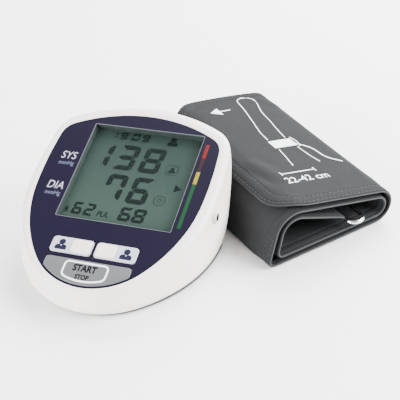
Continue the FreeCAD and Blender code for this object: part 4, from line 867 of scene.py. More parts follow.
class MONITOR_OT_housing(bpy.types.Operator):
    """Make the smooth white shell with its rounded rim and its openings"""
    bl_idname = "monitor.housing"
    bl_label = "Housing"

    def execute(self, context):
        housing, panel, keys = settings("housing"), settings("panel"), settings("keys")
        mesh = new_mesh("shell", *ring_solid(shell_rings(housing)))
        for cutter in housing_cutters(housing, panel, keys):
            mesh = cut_out(mesh, cutter)
        white = plastic("housing_white", housing.white, 0.34)
        shell = place_piece("housing_shell", mesh, white, "monitor")
        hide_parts("top_housing")
        self.foot_seam(housing)
        return {"FINISHED"}

    @staticmethod
    def foot_seam(housing):
        """The seam under the shell, from one side of the battery door to the other: a dark ring,
        partly the gap between shell and base and partly painted shadow under the shell's lower
        edge.
        """
        facing = facings(housing.base_reach, housing.base_radii, 240)
        low, high, proud, deep = housing.seam
        loop = outline(housing.base_reach, housing.base_radii, facing)
        outer, inner = inward(loop, -proud), inward(loop, deep)
        shown = (np.abs(loop[:, 0]) > housing.door_way[0] + MM) | (loop[:, 1] < 0)
        first = np.flatnonzero(shown & ~np.roll(shown, 1))[0]
        rows = np.roll(np.arange(len(loop)), -first)
        rows = rows[shown[rows]]
        rings = np.stack([at_height(way[rows], level)
                          for way, level in ((outer, low), (outer, high), (inner, high),
                                             (inner, low))], 1)
        # partly painted shadow: the seam is coloured nearly black for the shade under the shell's
        # lower edge
        dark = plastic("seam_dark", (0.03, 0.029, 0.028), 0.6)
        made = add_piece("foot_seam", *ring_solid(rings), dark, "monitor")


# ---------------------------------------------------------------- print

CAPITAL = 0.73          # a capital's height in the plain font, as a share of the font's size


def lettering(text, height, middle, bold, narrow, lean=0.0):
    """Plain lettering as flat closed solids, by its capital height and its middle, in metres.

    It is drawn fatter by a share of its height, narrowed by a factor, and leant by a shear.
    """
    curve = bpy.data.curves.new("lettering", "FONT")
    curve.body = text
    curve.size = height / CAPITAL
    curve.align_x = "CENTER"
    curve.align_y = "CENTER"
    curve.offset = bold * height
    curve.shear = lean
    curve.resolution_u = 6
    curve.extrude = settings("panel").print_thick / 2
    holder = new_object("lettering", curve)
    mesh = applied_mesh(holder)
    bpy.data.objects.remove(holder)
    points = mesh_points(mesh) * (narrow, 1, 1)
    faces = [list(face.vertices) for face in mesh.polygons]
    centre = (points[:, :2].min(0) + points[:, :2].max(0)) / 2
    points[:, :2] += np.array(middle) - centre
    return points, faces


def on_face(solids, high):
    """Flat solids laid on the panel's slope at a height above the face."""
    return moved(several(solids), lambda p: panel_space(p + (0, 0, high)))


def person(middle, height):
    """A plain bust: a round head over broad sloping shoulders, with a light gap at the collar.

    Its sizes are shares of its height: the head's middle and radius, the shoulder's radius and
    middle, the collar's half width, top and bottom, and the foot's half width.
    """
    across, low = middle
    brow, head = 0.72 * height, 0.28 * height
    shoulder, out, up = 0.22 * height, 0.29 * height, 0.24 * height
    notch, collar, throat = 0.12 * height, 0.49 * height, 0.30 * height
    foot = 0.51 * height
    body = (arc((across + out, low + up), shoulder, 0, 0.4 * math.pi, 8),
            ((across + notch, low + collar), (across, low + throat),
             (across - notch, low + collar)),
            arc((across - out, low + up), shoulder, 0.6 * math.pi, math.pi, 8),
            ((across - foot, low), (across + foot, low)))
    return [full_circle((across, low + brow), head, 32), np.vstack(body)]


# the panel's names and units: each word and where its middle lies, in millimetres on the face
LABELS = {"panel_names": (("SYS", -43.6, 48.6), ("DIA", -43.6, 23.6)),
          "panel_units": (("mmHg", -43.4, 41.6), ("mmHg", -43.4, 16.6))}


class MONITOR_OT_panel(bpy.types.Operator):
    """Finish the dark panel, its window edge with a painted highlight, its lettering and its
    colour scale
    """
    bl_idname = "monitor.panel"
    bl_label = "Panel"

    def execute(self, context):
        panel, thick = settings("panel"), settings("panel").print_thick
        assign("front_panel", plastic("panel_navy", panel.navy, 0.36, depth=0.006 * MM,
                                      Specular_IOR_Level=0.12))
        for name, height, shape, colour in (
                ("panel_names", panel.label_height[0], (0.004, 0.84, 0.12), panel.ink),
                ("panel_units", panel.label_height[1], (0.0, 0.92), panel.dim_ink)):
            words = [lettering(word, height, (across * MM, up * MM), *shape)
                     for word, across, up in LABELS[name]]
            ink = plastic(name, colour, 0.5, depth=PRINTED, Specular_IOR_Level=0.12)
            add_piece(name, *on_face(words, thick / 2), ink, "monitor")
        self.colour_scale(panel)
        self.window_edge(panel)
        self.window_wall(panel)
        return {"FINISHED"}

    @staticmethod
    def colour_scale(panel):
        """The four printed fields beside the window, with a thin gap between them."""
        left, right, low, high = panel.scale_place
        steps = [high, *panel.scale_steps, low]
        gap = 0.1 * MM
        for colour, above, below in zip(("red", "brown", "yellow", "green"), steps, steps[1:]):
            name = "scale_" + colour
            field = prism(box_loop(left, right, below + gap, above - gap), 0, panel.print_thick)
            paint = plastic(name, getattr(panel, name), 0.45, depth=PRINTED,
                            Specular_IOR_Level=0.2)
            add_piece(name, *on_face([field], 0), paint, "monitor")

    @staticmethod
    def window_edge(panel):
        """The window's edge: a thin light line round the panel's opening, a painted highlight for
        the light that the lens's edge catches.
        """
        corner, lip = panel.window_edge
        high = panel.print_thick / 2
        line = ring_loop(stepped(rounded(*panel.window, corner),
                                 ((0, -lip), (0, high), (lip, high), (lip, -lip))))
        # painted highlight: the edge line's light grey stands for the glint on the lens's edge
        edge = plastic("window_edge", panel.painted_edge_highlight, 0.4, depth=PRINTED)
        add_piece("window_edge", *on_face([line], 0), edge, "monitor")

    @staticmethod
    def window_wall(panel):
        """The wall between the clear window and the display: a thin frame under the edge, coloured
        dark grey-green, partly its own tone and partly painted shade of the deep recess.

        A corner moves inwards by the root of two times its sides' move.
        """
        near, far = 0.02 * MM * math.sqrt(2), 0.3 * MM * math.sqrt(2)
        low, high = 0.02 * MM - panel.glass_depth, -panel.window_edge[1]
        wall = ring_loop(stepped(box_loop(*panel.window),
                                 ((near, low), (near, high), (far, high), (far, low))))
        # partly painted shade: the wall's dark grey-green stands for the shade in the window's
        # recess
        grey = plastic("window_wall", panel.wall_painted_shade_grey, 0.6, Specular_IOR_Level=0.1)
        add_piece("window_wall", *on_face([wall], 0), grey, "monitor")


# ---------------------------------------------------------------- display

# which of the seven segments each figure lights: a top, b upper right, c lower right, d bottom,
# e lower left, f upper left, g middle
FIGURES = {"0": "abcdef", "1": "bc", "2": "abged", "3": "abgcd", "6": "afgedc", "7": "abcf",
           "8": "abcdefg", "9": "abcdfg"}

# what the display shows, in millimetres on the face
# each number: its text, its left, bottom, right and top, one figure's width and a segment's
NUMBERS = (("138", -32.2, 45.6, 18.8, 66.6, 14.4, 3.9),
           ("76", -14.0, 20.2, 18.2, 41.8, 14.0, 3.9),
           ("62", -28.5, 6.4, -13.1, 16.0, 6.9, 1.95),
           ("68", 4.0, 6.4, 21.8, 17.2, 8.4, 2.35),
           ("19", -24.4, 70.9, -11.4, 77.2, 5.6, 1.65),
           ("09", -8.3, 70.9, 4.7, 77.2, 5.6, 1.65))
# the clock's two dots and their radius
DOTS, DOT = ((-9.6, 72.2), (-9.6, 75.0)), 0.45
# each bust: across and up of its foot's middle, and its height
BUSTS = ((21.8, 70.4, 7.2), (28.2, 48.4, 4.6))
# corners of the pointer at the colour scale, and of what is left in the battery symbol
FILLED = (((34.2, 33.6), (39.2, 36.6), (34.2, 39.6)),
          ((-32.6, 8.0), (-31.2, 8.0), (-31.2, 10.6), (-32.6, 10.6)))
# the pulse's name: capital height and middle
PULSE, PULSE_PLACE = 4.3, (-6.2, 9.3)
# the beat symbol: its middle, and the radius and points of each of its two rings
BEAT, BEAT_RINGS = (27.2, 25.6), ((4.0, 32), (1.7, 24))
# boxes round a bust and round the battery symbol: left, right, bottom, top and corner radius
BOXES = ((24.2, 32.2, 46.8, 54.6, 1.4), (-33.4, -30.4, 7.2, 11.6, 0.6))
# width of the lines of rings and boxes
FINE_LINE = 0.35


def figure(sign, low, width, height, thick, slant):
    """One seven-segment figure as mitred outlines, from its lower left corner, leant by a shear.

    A segment's ends are cut to a tip and then blunt, by shares of its thickness, and all its
    sides are drawn in by a small share, which leaves light gaps between segments.
    """
    w, h, t, m = width, height, thick, height / 2
    tip, blunt, gap = 0.3 * t, 0.45 * t, 0.03 * t
    right_up = ((w - t, m + t / 2), (w - tip, m + tip / 2), (w, m + blunt), (w, h - blunt),
                (w - tip, h - tip), (w - t, h - t))
    right_low = ((w - t, t), (w - tip, tip), (w, blunt), (w, m - blunt),
                 (w - tip, m - tip / 2), (w - t, m - t / 2))
    shapes = {"a": ((t, h - t), (w - t, h - t), (w - tip, h - tip), (w - blunt, h), (blunt, h),
                    (tip, h - tip)), "b": right_up, "c": right_low,
              "d": ((tip, tip), (blunt, 0), (w - blunt, 0), (w - tip, tip), (w - t, t), (t, t)),
              "e": [(w - x, y) for x, y in right_low[::-1]],
              "f": [(w - x, y) for x, y in right_up[::-1]],
              "g": ((tip, m), (t, m - t / 2), (w - t, m - t / 2), (w - tip, m),
                    (w - t, m + t / 2), (t, m + t / 2))}
    loops = []
    for name in FIGURES[sign]:
        loop = inward(np.array(shapes[name], float), gap)
        loop[:, 0] += np.tan(slant) * loop[:, 1]
        loops.append(loop + low)
    return loops


def number(text, left, low, right, high, width, thick):
    """Figures side by side between two sides, the last one at the right."""
    step = (right - left - width) / (len(text) - 1)
    loops = []
    for place, sign in enumerate(text):
        loops += figure(sign, np.array((left + place * step, low)) * MM, width * MM,
                        (high - low) * MM, thick * MM, settings("panel").slant)
    return loops


def glass_with_painted_shade(name, panel):
    """The display's bare glass: its tone runs from the darker upper to the lighter lower colour
    along Y, a painted shade under the window's upper wall.
    """
    material, tree, shader = new_material(name, Specular_IOR_Level=0.1)
    place = object_place(tree)
    given = grouped(tree, "moulded_grain", Place=place, Grain=900.0, Marks=MARKS)
    low, high = (panel_space((0, up, 0))[1] for up in panel.window[2:])
    back = node(tree, "ShaderNodeSeparateXYZ", {0: place}).outputs["Y"]
    share = compute(tree, "DIVIDE", compute(tree, "SUBTRACT", back, low), high - low)
    drift = compute(tree, "MULTIPLY_ADD", given["Tone"], 0.5, share)
    # painted shade: the glass darkens towards the top, under the window's upper wall
    tree.links.new(blend(tree, drift, panel.display_low, panel.display_shaded_top),
                   shader["Base Color"])
    gloss(tree, given["Dull"], 0.45, 0.1, shader)
    return material


class MONITOR_OT_display(bpy.types.Operator):
    """Light the display's figures and symbols and finish the glass over them"""
    bl_idname = "monitor.display"
    bl_label = "Display"

    def execute(self, context):
        panel, thick = settings("panel"), settings("panel").print_thick
        loops = [loop for row in NUMBERS for loop in number(*row)]
        loops += [full_circle(np.array(dot) * MM, DOT * MM, 12) for dot in DOTS]
        for across, up, tall in BUSTS:
            loops += person((across * MM, up * MM), tall * MM)
        loops += [np.array(corners) * MM for corners in FILLED]
        solids = [prism(loop, 0, thick) for loop in loops]
        solids.append(lettering("PUL", PULSE * MM, np.array(PULSE_PLACE) * MM, 0.03, 0.84, 0.15))
        frames = [full_circle(np.array(BEAT) * MM, radius * MM, count)
                  for radius, count in BEAT_RINGS]
        frames += [rounded(*(side * MM for side in box)) for box in BOXES]
        line = FINE_LINE * MM
        solids += [ring_loop(stepped(loop, ((0, 0), (0, thick), (line, thick), (line, 0))))
                   for loop in frames]
        ink = plastic("segment_ink", panel.segment, 0.5, depth=PRINTED, Specular_IOR_Level=0.1)
        above = 0.01 * MM - panel.glass_depth
        made = add_piece("display_segments", *on_face(solids, above), ink, "monitor")
        assign("lcd_module", glass_with_painted_shade("lcd_glass", panel))
        assign("display_window", self.clear_finish())
        return {"FINISHED"}

    @staticmethod
    def clear_finish():
        """The clear window's plastic: see-through, with faint smears in its gloss."""
        material, tree, shader = new_material("clear_window", Alpha=0.06, Specular_IOR_Level=0.2,
                                              Base_Color=(0.0, 0.0, 0.0))
        gloss(tree, noise(tree, object_place(tree), 30.0, detail=4.0), 0.06, 0.08, shader)
        return material


# ---------------------------------------------------------------- keys

class MONITOR_OT_keys(bpy.types.Operator):
    """Make the three keys with their pads, raised outline, symbols and lettering"""
    bl_idname = "monitor.keys"
    bl_label = "Keys"

    def execute(self, context):
        keys, thick = settings("keys"), settings("panel").print_thick
        dark = plastic("key_symbol", keys.symbol, 0.5, depth=PRINTED, Specular_IOR_Level=0.15)
        for side in (-1, 1):
            self.user_key(keys, side, dark)
        grey = plastic("start_key_grey", keys.start_grey, 0.34)
        cap = ring_solid(stepped(crescent(keys, settings("housing")),
                                 soft_edge(-keys.depth, keys.proud, keys.edge[0])))
        made = add_piece("start_key_cap", *on_face([cap], 0), grey, "start_stop_key")
        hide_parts("start_stop_button")
        half, rise = keys.ridge_bead
        bead = tube(at_height(self.ridge_path(keys), 0), half, 10, closed=True)
        bead[0][:, 2] *= rise / half
        white = plastic("ridge_white", keys.ridge_white, 0.35)
        made = add_piece("start_key_ridge", *on_face([bead], keys.proud), white, "start_stop_key")
        black = plastic("key_letter", keys.letter, 0.5, depth=PRINTED, Specular_IOR_Level=0.1)
        words = [lettering(word, height, (-0.4 * MM, up), 0.06, 0.84) for word, height, up
                 in zip(("START", "STOP"), keys.start_height, keys.start_place)]
        made = add_piece("start_key_lettering", *on_face(words, keys.proud + thick / 2), black,
                         "start_stop_key")
        return {"FINISHED"}

    @staticmethod
    def user_key(keys, side, dark):
        """The left (-1) or right (1) user key: its cap, its raised pad and its symbol."""
        name = "user_%d" % (1 if side < 0 else 2)
        body = name + "_key"
        edge, pad_edge = keys.edge
        cap = ring_solid(stepped(rounded(*user_bounds(keys, side), keys.corner),
                                 soft_edge(-keys.depth, keys.proud, edge)))
        grey = plastic("key_grey", keys.key_grey, 0.35)
        made = add_piece(name + "_cap", *on_face([cap], 0), grey, body)
        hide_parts(name + "_button")
        wide, inset, rise = keys.pad
        inner = keys.user_middle[0] - keys.user_size[0] / 2 + inset
        ends = sorted((side * inner, side * (inner + wide)))
        low, high = (keys.user_middle[1] + turn * (keys.user_size[1] / 2 - inset)
                     for turn in (-1, 1))
        sunk = 0.1 * MM
        pad = ring_solid(stepped(rounded(*ends, low, high, keys.corner - inset),
                                 soft_edge(keys.proud - sunk, keys.proud + rise, pad_edge)))
        cream = plastic("key_pad", keys.pad_cream, 0.4)
        add_piece(name + "_pad", *on_face([pad], 0), cream, body)
        out, foot, tall = keys.bust
        across, up = side * (keys.user_middle[0] + out), keys.user_middle[1] + foot
        bust = [prism(part, 0, settings("panel").print_thick)
                for part in person((across, up), tall)]
        add_piece(name + "_symbol", *on_face(bust, keys.proud), dark, body)

    @staticmethod
    def ridge_path(keys):
        """The raised outline: flat top, straight sides and a low arc, with rounded corners.

        The arc's sag is a share of the drop from the sides' foot to the bottom. The arc ends
        short of the sides, and its corners turn by the rest of the way up to them.
        """
        half, top, side, low = keys.ridge
        corner = keys.corner
        sag, short, rest = 0.72 * (side - low), 0.5 * corner, 0.9
        radius = (half ** 2 + sag ** 2) / (2 * sag)
        swing = math.asin((half - short) / radius)
        bottom = arc((0, low + radius), radius, -math.pi / 2 - swing, -math.pi / 2 + swing, 40)
        right = arc((half - corner, bottom[-1, 1] + corner), corner, -rest, 0, 6)
        upper = arc((half - corner, top - corner), corner, 0, math.pi / 2, 7)
        return np.vstack((bottom, right, upper, upper[::-1] * (-1, 1), right[::-1] * (-1, 1)))


# ---------------------------------------------------------------- the cuff's winding

TURNS = 2               # whole turns outside the last one
CREEP = 1.4             # how far the heel moves across for each step inwards


def winding(cuff):
    """The circles that the cuff is pulled round, from its flap inwards, as (centre, radius).

    Turn k lies k pitches inside the first: round the shoulder, the nose and back round the heel.
    The last turn ends on the tail instead of the nose.
    """
    shoulder, nose, heel, tail = (np.array(circle[:2]) for circle in
                                  (cuff.shoulder, cuff.nose, cuff.heel, cuff.tail))
    circles = []
    for turn in range(TURNS):
        offset = turn * (cuff.layer + cuff.slack)
        circles += [(shoulder, cuff.shoulder[2] - offset), (nose, cuff.nose[2] - offset),
                    (heel + (CREEP * offset, offset), cuff.heel[2])]
    offset = TURNS * (cuff.layer + cuff.slack)
    return circles + [(shoulder, cuff.shoulder[2] - offset), (tail, cuff.tail[2])]


def pull_line(first, second):
    """Where a line pulled tight over two circles leaves one and meets the other."""
    across = second[0] - first[0]
    reach = np.hypot(*across)
    lean = (first[1] - second[1]) / reach
    along = across / reach
    normal = along * lean + leftward(along) * math.sqrt(1 - lean * lean)
    return first[0] + normal * first[1], second[0] + normal * second[1]


def resample(line, values):
    """Values at new distances along a line: straight interpolation of every column."""
    along = walked(line)
    return lambda places: np.column_stack([np.interp(places, along, column)
                                           for column in values.T])


def wound_path(circles, depth, start, end, step=0.5 * MM):
    """The line round all circles at a depth in the layer: arcs joined by tangent lines.

    Its points lie about one step apart, and come with their outward normals.
    """
    shrunk = [(centre, radius - depth) for centre, radius in circles]
    points, normals = [], []
    here = start
    for index, (centre, radius) in enumerate(shrunk):
        last = index + 1 == len(shrunk)
        leave_angle = end
        if not last:
            leave, meet = pull_line(shrunk[index], shrunk[index + 1])
            leave_angle = math.atan2(*(leave - centre)[::-1])
        if leave_angle > here:
            leave_angle -= 2 * math.pi
        count = max(int(round((here - leave_angle) * circles[index][1] / step)), 2)
        out = compass(np.linspace(here, leave_angle, count))
        points.append(centre + radius * out)
        normals.append(out)
        if not last:
            count = max(int(round(np.hypot(*(meet - leave)) / step)), 2)
            shares = np.linspace(0, 1, count + 1)[1:-1, None]
            points.append(leave + (meet - leave) * shares)
            normals.append(np.repeat(out[-1:], len(shares), 0))
            here = math.atan2(*(meet - shrunk[index + 1][0])[::-1])
    return np.vstack(points), np.vstack(normals)


def wound_pad(cuff, circles, depth, thick, inset, start, end):
    """A flat strip inside the roll, with rounded edges.

    Its half thickness falls by a quarter ellipse within half a thickness of each edge.
    """
    points, normals = wound_path(circles, depth, start, end, step=2.0 * MM)
    round_count, flat_count, least = 6, 12, 0.05
    rise = np.linspace(0, math.pi / 2, round_count)
    nose = thick / 2 * (1 - np.cos(rise))
    across = np.concatenate((inset + nose,
                             np.linspace(inset + thick, cuff.long - inset - thick, flat_count),
                             cuff.long - inset - nose[::-1]))
    high = thick / 2 * np.concatenate((np.sin(rise), np.ones(flat_count),
                                       np.sin(rise)[::-1])).clip(least, 1)
    across = np.concatenate((across, across[::-1]))
    high = np.concatenate((high, -high[::-1]))
    flat = points[:, None] + normals[:, None] * high[None, :, None]
    rings = np.stack((flat[..., 0], np.broadcast_to(across, flat.shape[:2]), flat[..., 1]), -1)
    return ring_solid(cuff_space(rings))


# ---------------------------------------------------------------- the cuff's sleeve

# soft folds above the flap's near corner and along the nose: start and end of each, as
# (along the strip, along the roll), and its share of the fold's depth
FOLDS = (((2, 56), (20, 22), 1.0), ((10, 62), (26, 40), -0.5), ((-2, 96), (16, 112), 0.45),
         ((60, 10), (84, 26), 0.35), ((66, 138), (86, 118), 0.3))
FOLD_FADE = 0.38        # how soon a fold fades along its line, as a share of its length
WELT, WELT_PLACE = 0.6, 1.7     # the raised side of a fold: its share, and its place in widths

# where the hem's profile has points, from the edge inwards, close together at both rows of
# stitches, in millimetres
HEM = (0, 0.15, 0.45, 0.9, 1.3, 1.6, 1.9, 2.2, 2.5, 3, 4, 5, 5.9, 6.5, 6.9, 7.3, 7.7, 8.1, 8.7,
       9.6, 11, 13, 15.5, 18.5, 22)


def edge_distance(cuff, along, across, reach):
    """How far places on the flat strip lie inside its edge, whose corners at the flap are round.

    By a corner it is the corner's radius less the distance to the corner's centre, and
    elsewhere the distance to the nearest of the hems and the two ends.
    """
    radius = cuff.flap_corner
    side = np.minimum(across, cuff.long - across)
    inside = radius - np.hypot(radius - along, radius - side)
    plain = np.minimum(np.minimum(side, along), reach - along)
    return np.where((along < radius) & (side < radius), inside, plain)


def half_thickness(cuff, edge):
    """Half the sleeve's thickness at a distance from its edge.

    A quarter circle rounds the edge, the hem is flat, each row of stitches sinks it by a bell
    curve, and a smooth step raises the padding beyond the inner row. The circle is cut short of
    its end, so that the very edge keeps a fifth of the thickness.
    """
    inner = cuff.rows[1]
    rise = np.clip((edge - inner) / cuff.crown, 0, 1)
    rise = rise * rise * (3 - 2 * rise)
    half = (cuff.hem_thick + (cuff.layer - cuff.hem_thick) * rise) / 2
    for row in cuff.rows:
        half = half - cuff.dip[0] * np.exp(-((edge - row) / cuff.dip[1]) ** 2)
    nose = np.clip(edge / cuff.edge_round, 0, 1)
    return half * np.sqrt(1 - (1 - nose) ** 2 * 0.96)


def fold_height(cuff, along, across):
    """The sum of soft folds: each a bell curve across its line, faded by a bell along it.

    Beside each valley lies a lower welt, the same bell the other way up.
    """
    depth, half = cuff.fold
    total = np.zeros(along.shape)
    for start, end, share in FOLDS:
        start, end = np.array(start) * MM, np.array(end) * MM
        reach = np.hypot(*(end - start))
        way = (end - start) / reach
        run = (along - start[0]) * way[0] + (across - start[1]) * way[1]
        off = (across - start[1]) * way[0] - (along - start[0]) * way[1]
        fade = np.exp(-((run / reach - 0.5) / FOLD_FADE) ** 4)
        valley, welt = (np.exp(-(off / half - place) ** 2) for place in (0, WELT_PLACE))
        total -= share * depth * fade * (valley - WELT * welt)
    return total


def cubic(values, places, wanted):
    """Values at new places, by a cubic whose slopes are the central differences."""
    slope = np.gradient(values, places, axis=0)
    low = np.clip(np.searchsorted(places, wanted, "right") - 1, 0, len(places) - 2)
    step = (places[low + 1] - places[low])[:, None]
    share = ((wanted - places[low])[:, None] / step).clip(0, 1)
    return hermite(values[low], values[low + 1], step * slope[low], step * slope[low + 1], share)


class Sleeve:
    """The flat strip of padded cloth and where the winding puts it.

    A place on it is (along, share): the distance from the flap's end, and the share of the way
    from the near to the far edge, which curve together at the flap's round corners. Reach is
    its length, and cover is where it has gone once round and passes under the flap's end.
    """

    def __init__(self, cuff, circles):
        """Wind the strip's middle line, and lay a grid that is finest by its corners and hems."""
        self.cuff = cuff
        points, normals = wound_path(circles, cuff.layer / 2, cuff.flap_angle, cuff.tail_angle)
        self.reach = walked(points)[-1]
        self.path, self.normal = resample(points, points), resample(points, normals)
        later = walked(points) >= self.reach / 4
        to_flap = np.where(later, np.hypot(*(points - points[0]).T), np.inf)
        self.cover = walked(points)[np.argmin(to_flap)]
        close = cuff.flap_corner + 2 * cuff.rows[1]
        self.along = np.concatenate((np.arange(0, close, 0.75 * MM),
                                     np.linspace(close, self.reach, 340)))
        hem = np.array(HEM) * MM
        half = np.concatenate((hem, np.linspace(hem[-1], cuff.long / 2, 15)[1:]))
        self.share = np.concatenate((half, cuff.long - half[-2::-1])) / cuff.long

    def near(self, along):
        """The near edge: straight, and a quarter circle at the flap's corner."""
        radius = self.cuff.flap_corner
        return radius - np.sqrt(radius ** 2 - np.clip(radius - along, 0, radius) ** 2)

    def flat(self, along, share):
        """The grid of flat places: along the strip and across it, both in metres."""
        near = self.near(along)[:, None]
        across = near + (self.cuff.long - 2 * near) * share[None]
        return np.broadcast_to(along[:, None], across.shape), across

    def skins(self, along, share):
        """Heights of the outer and the inner skin over the strip's middle, before it swells."""
        flat = self.flat(along, share)
        half = half_thickness(self.cuff, edge_distance(self.cuff, *flat, self.reach))
        return half, -half

    def rings(self, along, share, outer, inner):
        """Rings of points round the strip, from the heights of both skins, in the cuff's frame."""
        across = self.flat(along, share)[1]
        across = np.hstack((across, across[:, -2:0:-1]))
        high = np.hstack((outer, inner[:, -2:0:-1]))[..., None]
        place = self.path(along)[:, None] + self.normal(along)[:, None] * high
        return np.stack((place[..., 0], across, place[..., 1]), -1)

    def place(self, points):
        """Points over the outer skin, from places on the flat strip (along, across, lift).

        The skin's height between the grid's points is straight interpolation both ways.
        """
        along, across, lift = points.T
        near = self.near(along)
        share = (across - near) / (self.cuff.long - 2 * near)
        row = np.clip(np.searchsorted(self.along, along) - 1, 0, len(self.along) - 2)
        spot = np.clip(np.searchsorted(self.share, share) - 1, 0, len(self.share) - 2)
        down = (along - self.along[row]) / (self.along[row + 1] - self.along[row])
        side = (share - self.share[spot]) / (self.share[spot + 1] - self.share[spot])
        before, after = (self.outer[line, spot] * (1 - side) + self.outer[line, spot + 1] * side
                         for line in (row, row + 1))
        high = before * (1 - down) + after * down
        place = self.path(along) + self.normal(along) * (high + lift)[:, None]
        return cuff_space(np.column_stack((place[:, 0], across, place[:, 1])))

    def contour(self, inset, past, step):
        """Places a step apart along the line at a distance inside the edge.

        It runs up the near hem from a place past the flap, round the flap's end with its two
        corners, and back down the far hem.
        """
        radius, long = self.cuff.flap_corner, self.cuff.long
        near = arc((radius, radius), radius - inset, -math.pi / 2, -math.pi, 24)
        far = arc((radius, long - radius), radius - inset, math.pi, math.pi / 2, 24)
        line = np.vstack(((past, inset), near, far, (past, long - inset)))
        return resample(line, line)(np.arange(0, walked(line)[-1], step))


SCALE, FRAMES = 10, 20  # size of the simulated copy, and how long it is blown up
PADDING = {"quality": 6, "mass": 0.3, "vertex_group_mass": "held", "shrink_min": -0.05,
           "use_pressure": True, "uniform_pressure_force": 4, "bending_stiffness": 2.0}


def swelling(sleeve):
    """How far both skins of the padding swell, as shares from 0 to 1, from a cloth simulation.

    A coarse closed copy of the strip, ten times as large, is held along its hems, let out by a
    few percent, and blown up by a slight pressure with no gravity. Each point's move along its
    skin's normal is divided by a move that nearly all stay below.
    """
    along = np.linspace(0, sleeve.reach, int(sleeve.reach / (5 * MM)))
    share = np.linspace(0, 1, 31)
    rings = sleeve.rings(along, share, *sleeve.skins(along, share))
    points, faces = ring_solid(rings * SCALE)
    padding = new_object("padding", new_mesh("padding", points, faces, solid=False))
    edge = edge_distance(sleeve.cuff, *sleeve.flat(along, share), sleeve.reach)
    edge = np.hstack((edge, edge[:, -2:0:-1])).ravel()
    held = padding.vertex_groups.new(name="held")
    still = np.flatnonzero(edge < sleeve.cuff.rows[1] + 1 * MM).tolist()
    held.add(still + [len(points) - 2, len(points) - 1], 1.0, "REPLACE")
    blow = padding.modifiers.new("cloth", "CLOTH")
    for setting, value in PADDING.items():
        setattr(blow.settings, setting, value)
    blow.settings.effector_weights.gravity = 0
    blow.collision_settings.use_collision = False
    blow.collision_settings.use_self_collision = False
    blow.point_cache.frame_start, blow.point_cache.frame_end = 1, FRAMES
    scene = bpy.context.scene
    for moment in range(1, FRAMES + 1):
        scene.frame_set(moment)
    blown = mesh_points(padding.evaluated_get(bpy.context.evaluated_depsgraph_get()).data)
    scene.frame_set(1)
    bpy.data.objects.remove(padding)
    move = (blown[:-2] - points[:-2]).reshape(rings.shape)[..., (0, 2)] / SCALE
    out = (move * sleeve.normal(along)[:, None]).sum(-1)
    skins = out[:, :len(share)], -np.hstack((out[:, :1], out[:, :len(share) - 1:-1],
                                             out[:, len(share) - 1:len(share)]))
    return along, share, *(skin / np.percentile(np.abs(skin), 97) for skin in skins)


# how far the swelling takes to reach its full height: away from the flap's end that covers it,
# up from a height over the table, and inwards from the inner row of stitches
COVER_FADE, TABLE_START, TABLE_FADE, HEM_FADE = 12 * MM, 1.5 * MM, 9 * MM, 6 * MM


def swell(sleeve):
    """Set the heights of both skins: the sewn shape, the swelling and the soft folds.

    The outer skin swells fully where nothing lies over it, fading towards the flap's end that
    covers it and towards the table, and both swell slightly between the layers.
    """
    cuff = sleeve.cuff
    along, share, out, within = swelling(sleeve)
    spread = [cubic(cubic(skin, along, sleeve.along).T, share, sleeve.share).T.clip(-0.3, 1)
              for skin in (out, within)]
    free = np.clip((sleeve.cover - sleeve.along) / COVER_FADE, 0, 1)
    height = (sleeve.path(sleeve.along) + sleeve.normal(sleeve.along) * cuff.layer / 2)[:, 1]
    free = free * np.clip((height - TABLE_START) / TABLE_FADE, 0, 1)
    full, tight = cuff.puff
    edge = edge_distance(cuff, *sleeve.flat(sleeve.along, sleeve.share), sleeve.reach)
    soft = np.clip((edge - cuff.rows[1]) / HEM_FADE, 0, 1)
    folds = fold_height(cuff, *sleeve.flat(sleeve.along, sleeve.share))
    outer, inner = sleeve.skins(sleeve.along, sleeve.share)
    lift = (tight + (full - tight) * free[:, None]) * spread[0] + folds * free[:, None]
    sleeve.outer = outer + lift * soft
    sleeve.inner = inner - tight * spread[1] * soft


# ---------------------------------------------------------------- the cuff's print

PRINT_STEP = 1.2 * MM   # how far apart a printed line's points lie


def ribbon(line, width, cuts=1):
    """A printed line on the flat strip: its two sides at half its width along its normals.

    Width may be one number or one for each point of the line. Gives rings of (along, across,
    lift) with the lower side and then the upper side, cut across so that they follow the cloth.
    """
    line = np.asarray(line, float) * MM
    reach = walked(line)[-1]
    places = np.linspace(0, reach, max(int(reach / PRINT_STEP), 2) + 1)
    path = resample(line, line)(places)
    wide = np.interp(places, walked(line), np.broadcast_to(np.asarray(width, float), len(line)))
    side = leftward(unit(np.gradient(path, axis=0))) * wide[:, None] / 2
    shares = np.linspace(-1, 1, cuts + 1)
    low, high = settings("cuff").print_lift
    rows = [at_height(path + side * share, lift)
            for lift, across in ((low, shares[::-1]), (high, shares)) for share in across]
    return ring_solid(np.stack(rows, 1))


def curve_through(points, count=24):
    """A smooth line through points: a cubic in the distance walked from point to point."""
    points = np.asarray(points, float)
    return cubic(points, walked(points), np.linspace(0, walked(points)[-1], count))


# the print on the cuff, as (along the strip, along the roll) in millimetres
# the upper arm's two sides and the shoulder over them: middle and radius
ARM = (((72, 134), (66, 118), (64, 104), (61, 88), (60, 80)),
       ((57, 137), (54, 122), (50, 106), (46, 90), (45, 80)))
SHOULDER, SHOULDER_RADIUS = (64.5, 135.5), 7.7
# the forearm's two sides
FOREARM = (((45, 66), (43, 54), (41, 44)), ((61, 66), (62, 54), (64, 44)))
# the cuff on the arm, and how wide it is; the hose that leaves it; its curved rear edge, as the
# middle, the radius and half the angle of an arc
BAND, BAND_WIDTH = ((43.5, 73), (62.5, 73)), 9.5
HOSE = ((62, 71), (70, 62), (73, 48), (81, 40))
REAR, REAR_RADIUS, REAR_ANGLE = (52.7, 73), 12.5, 0.55
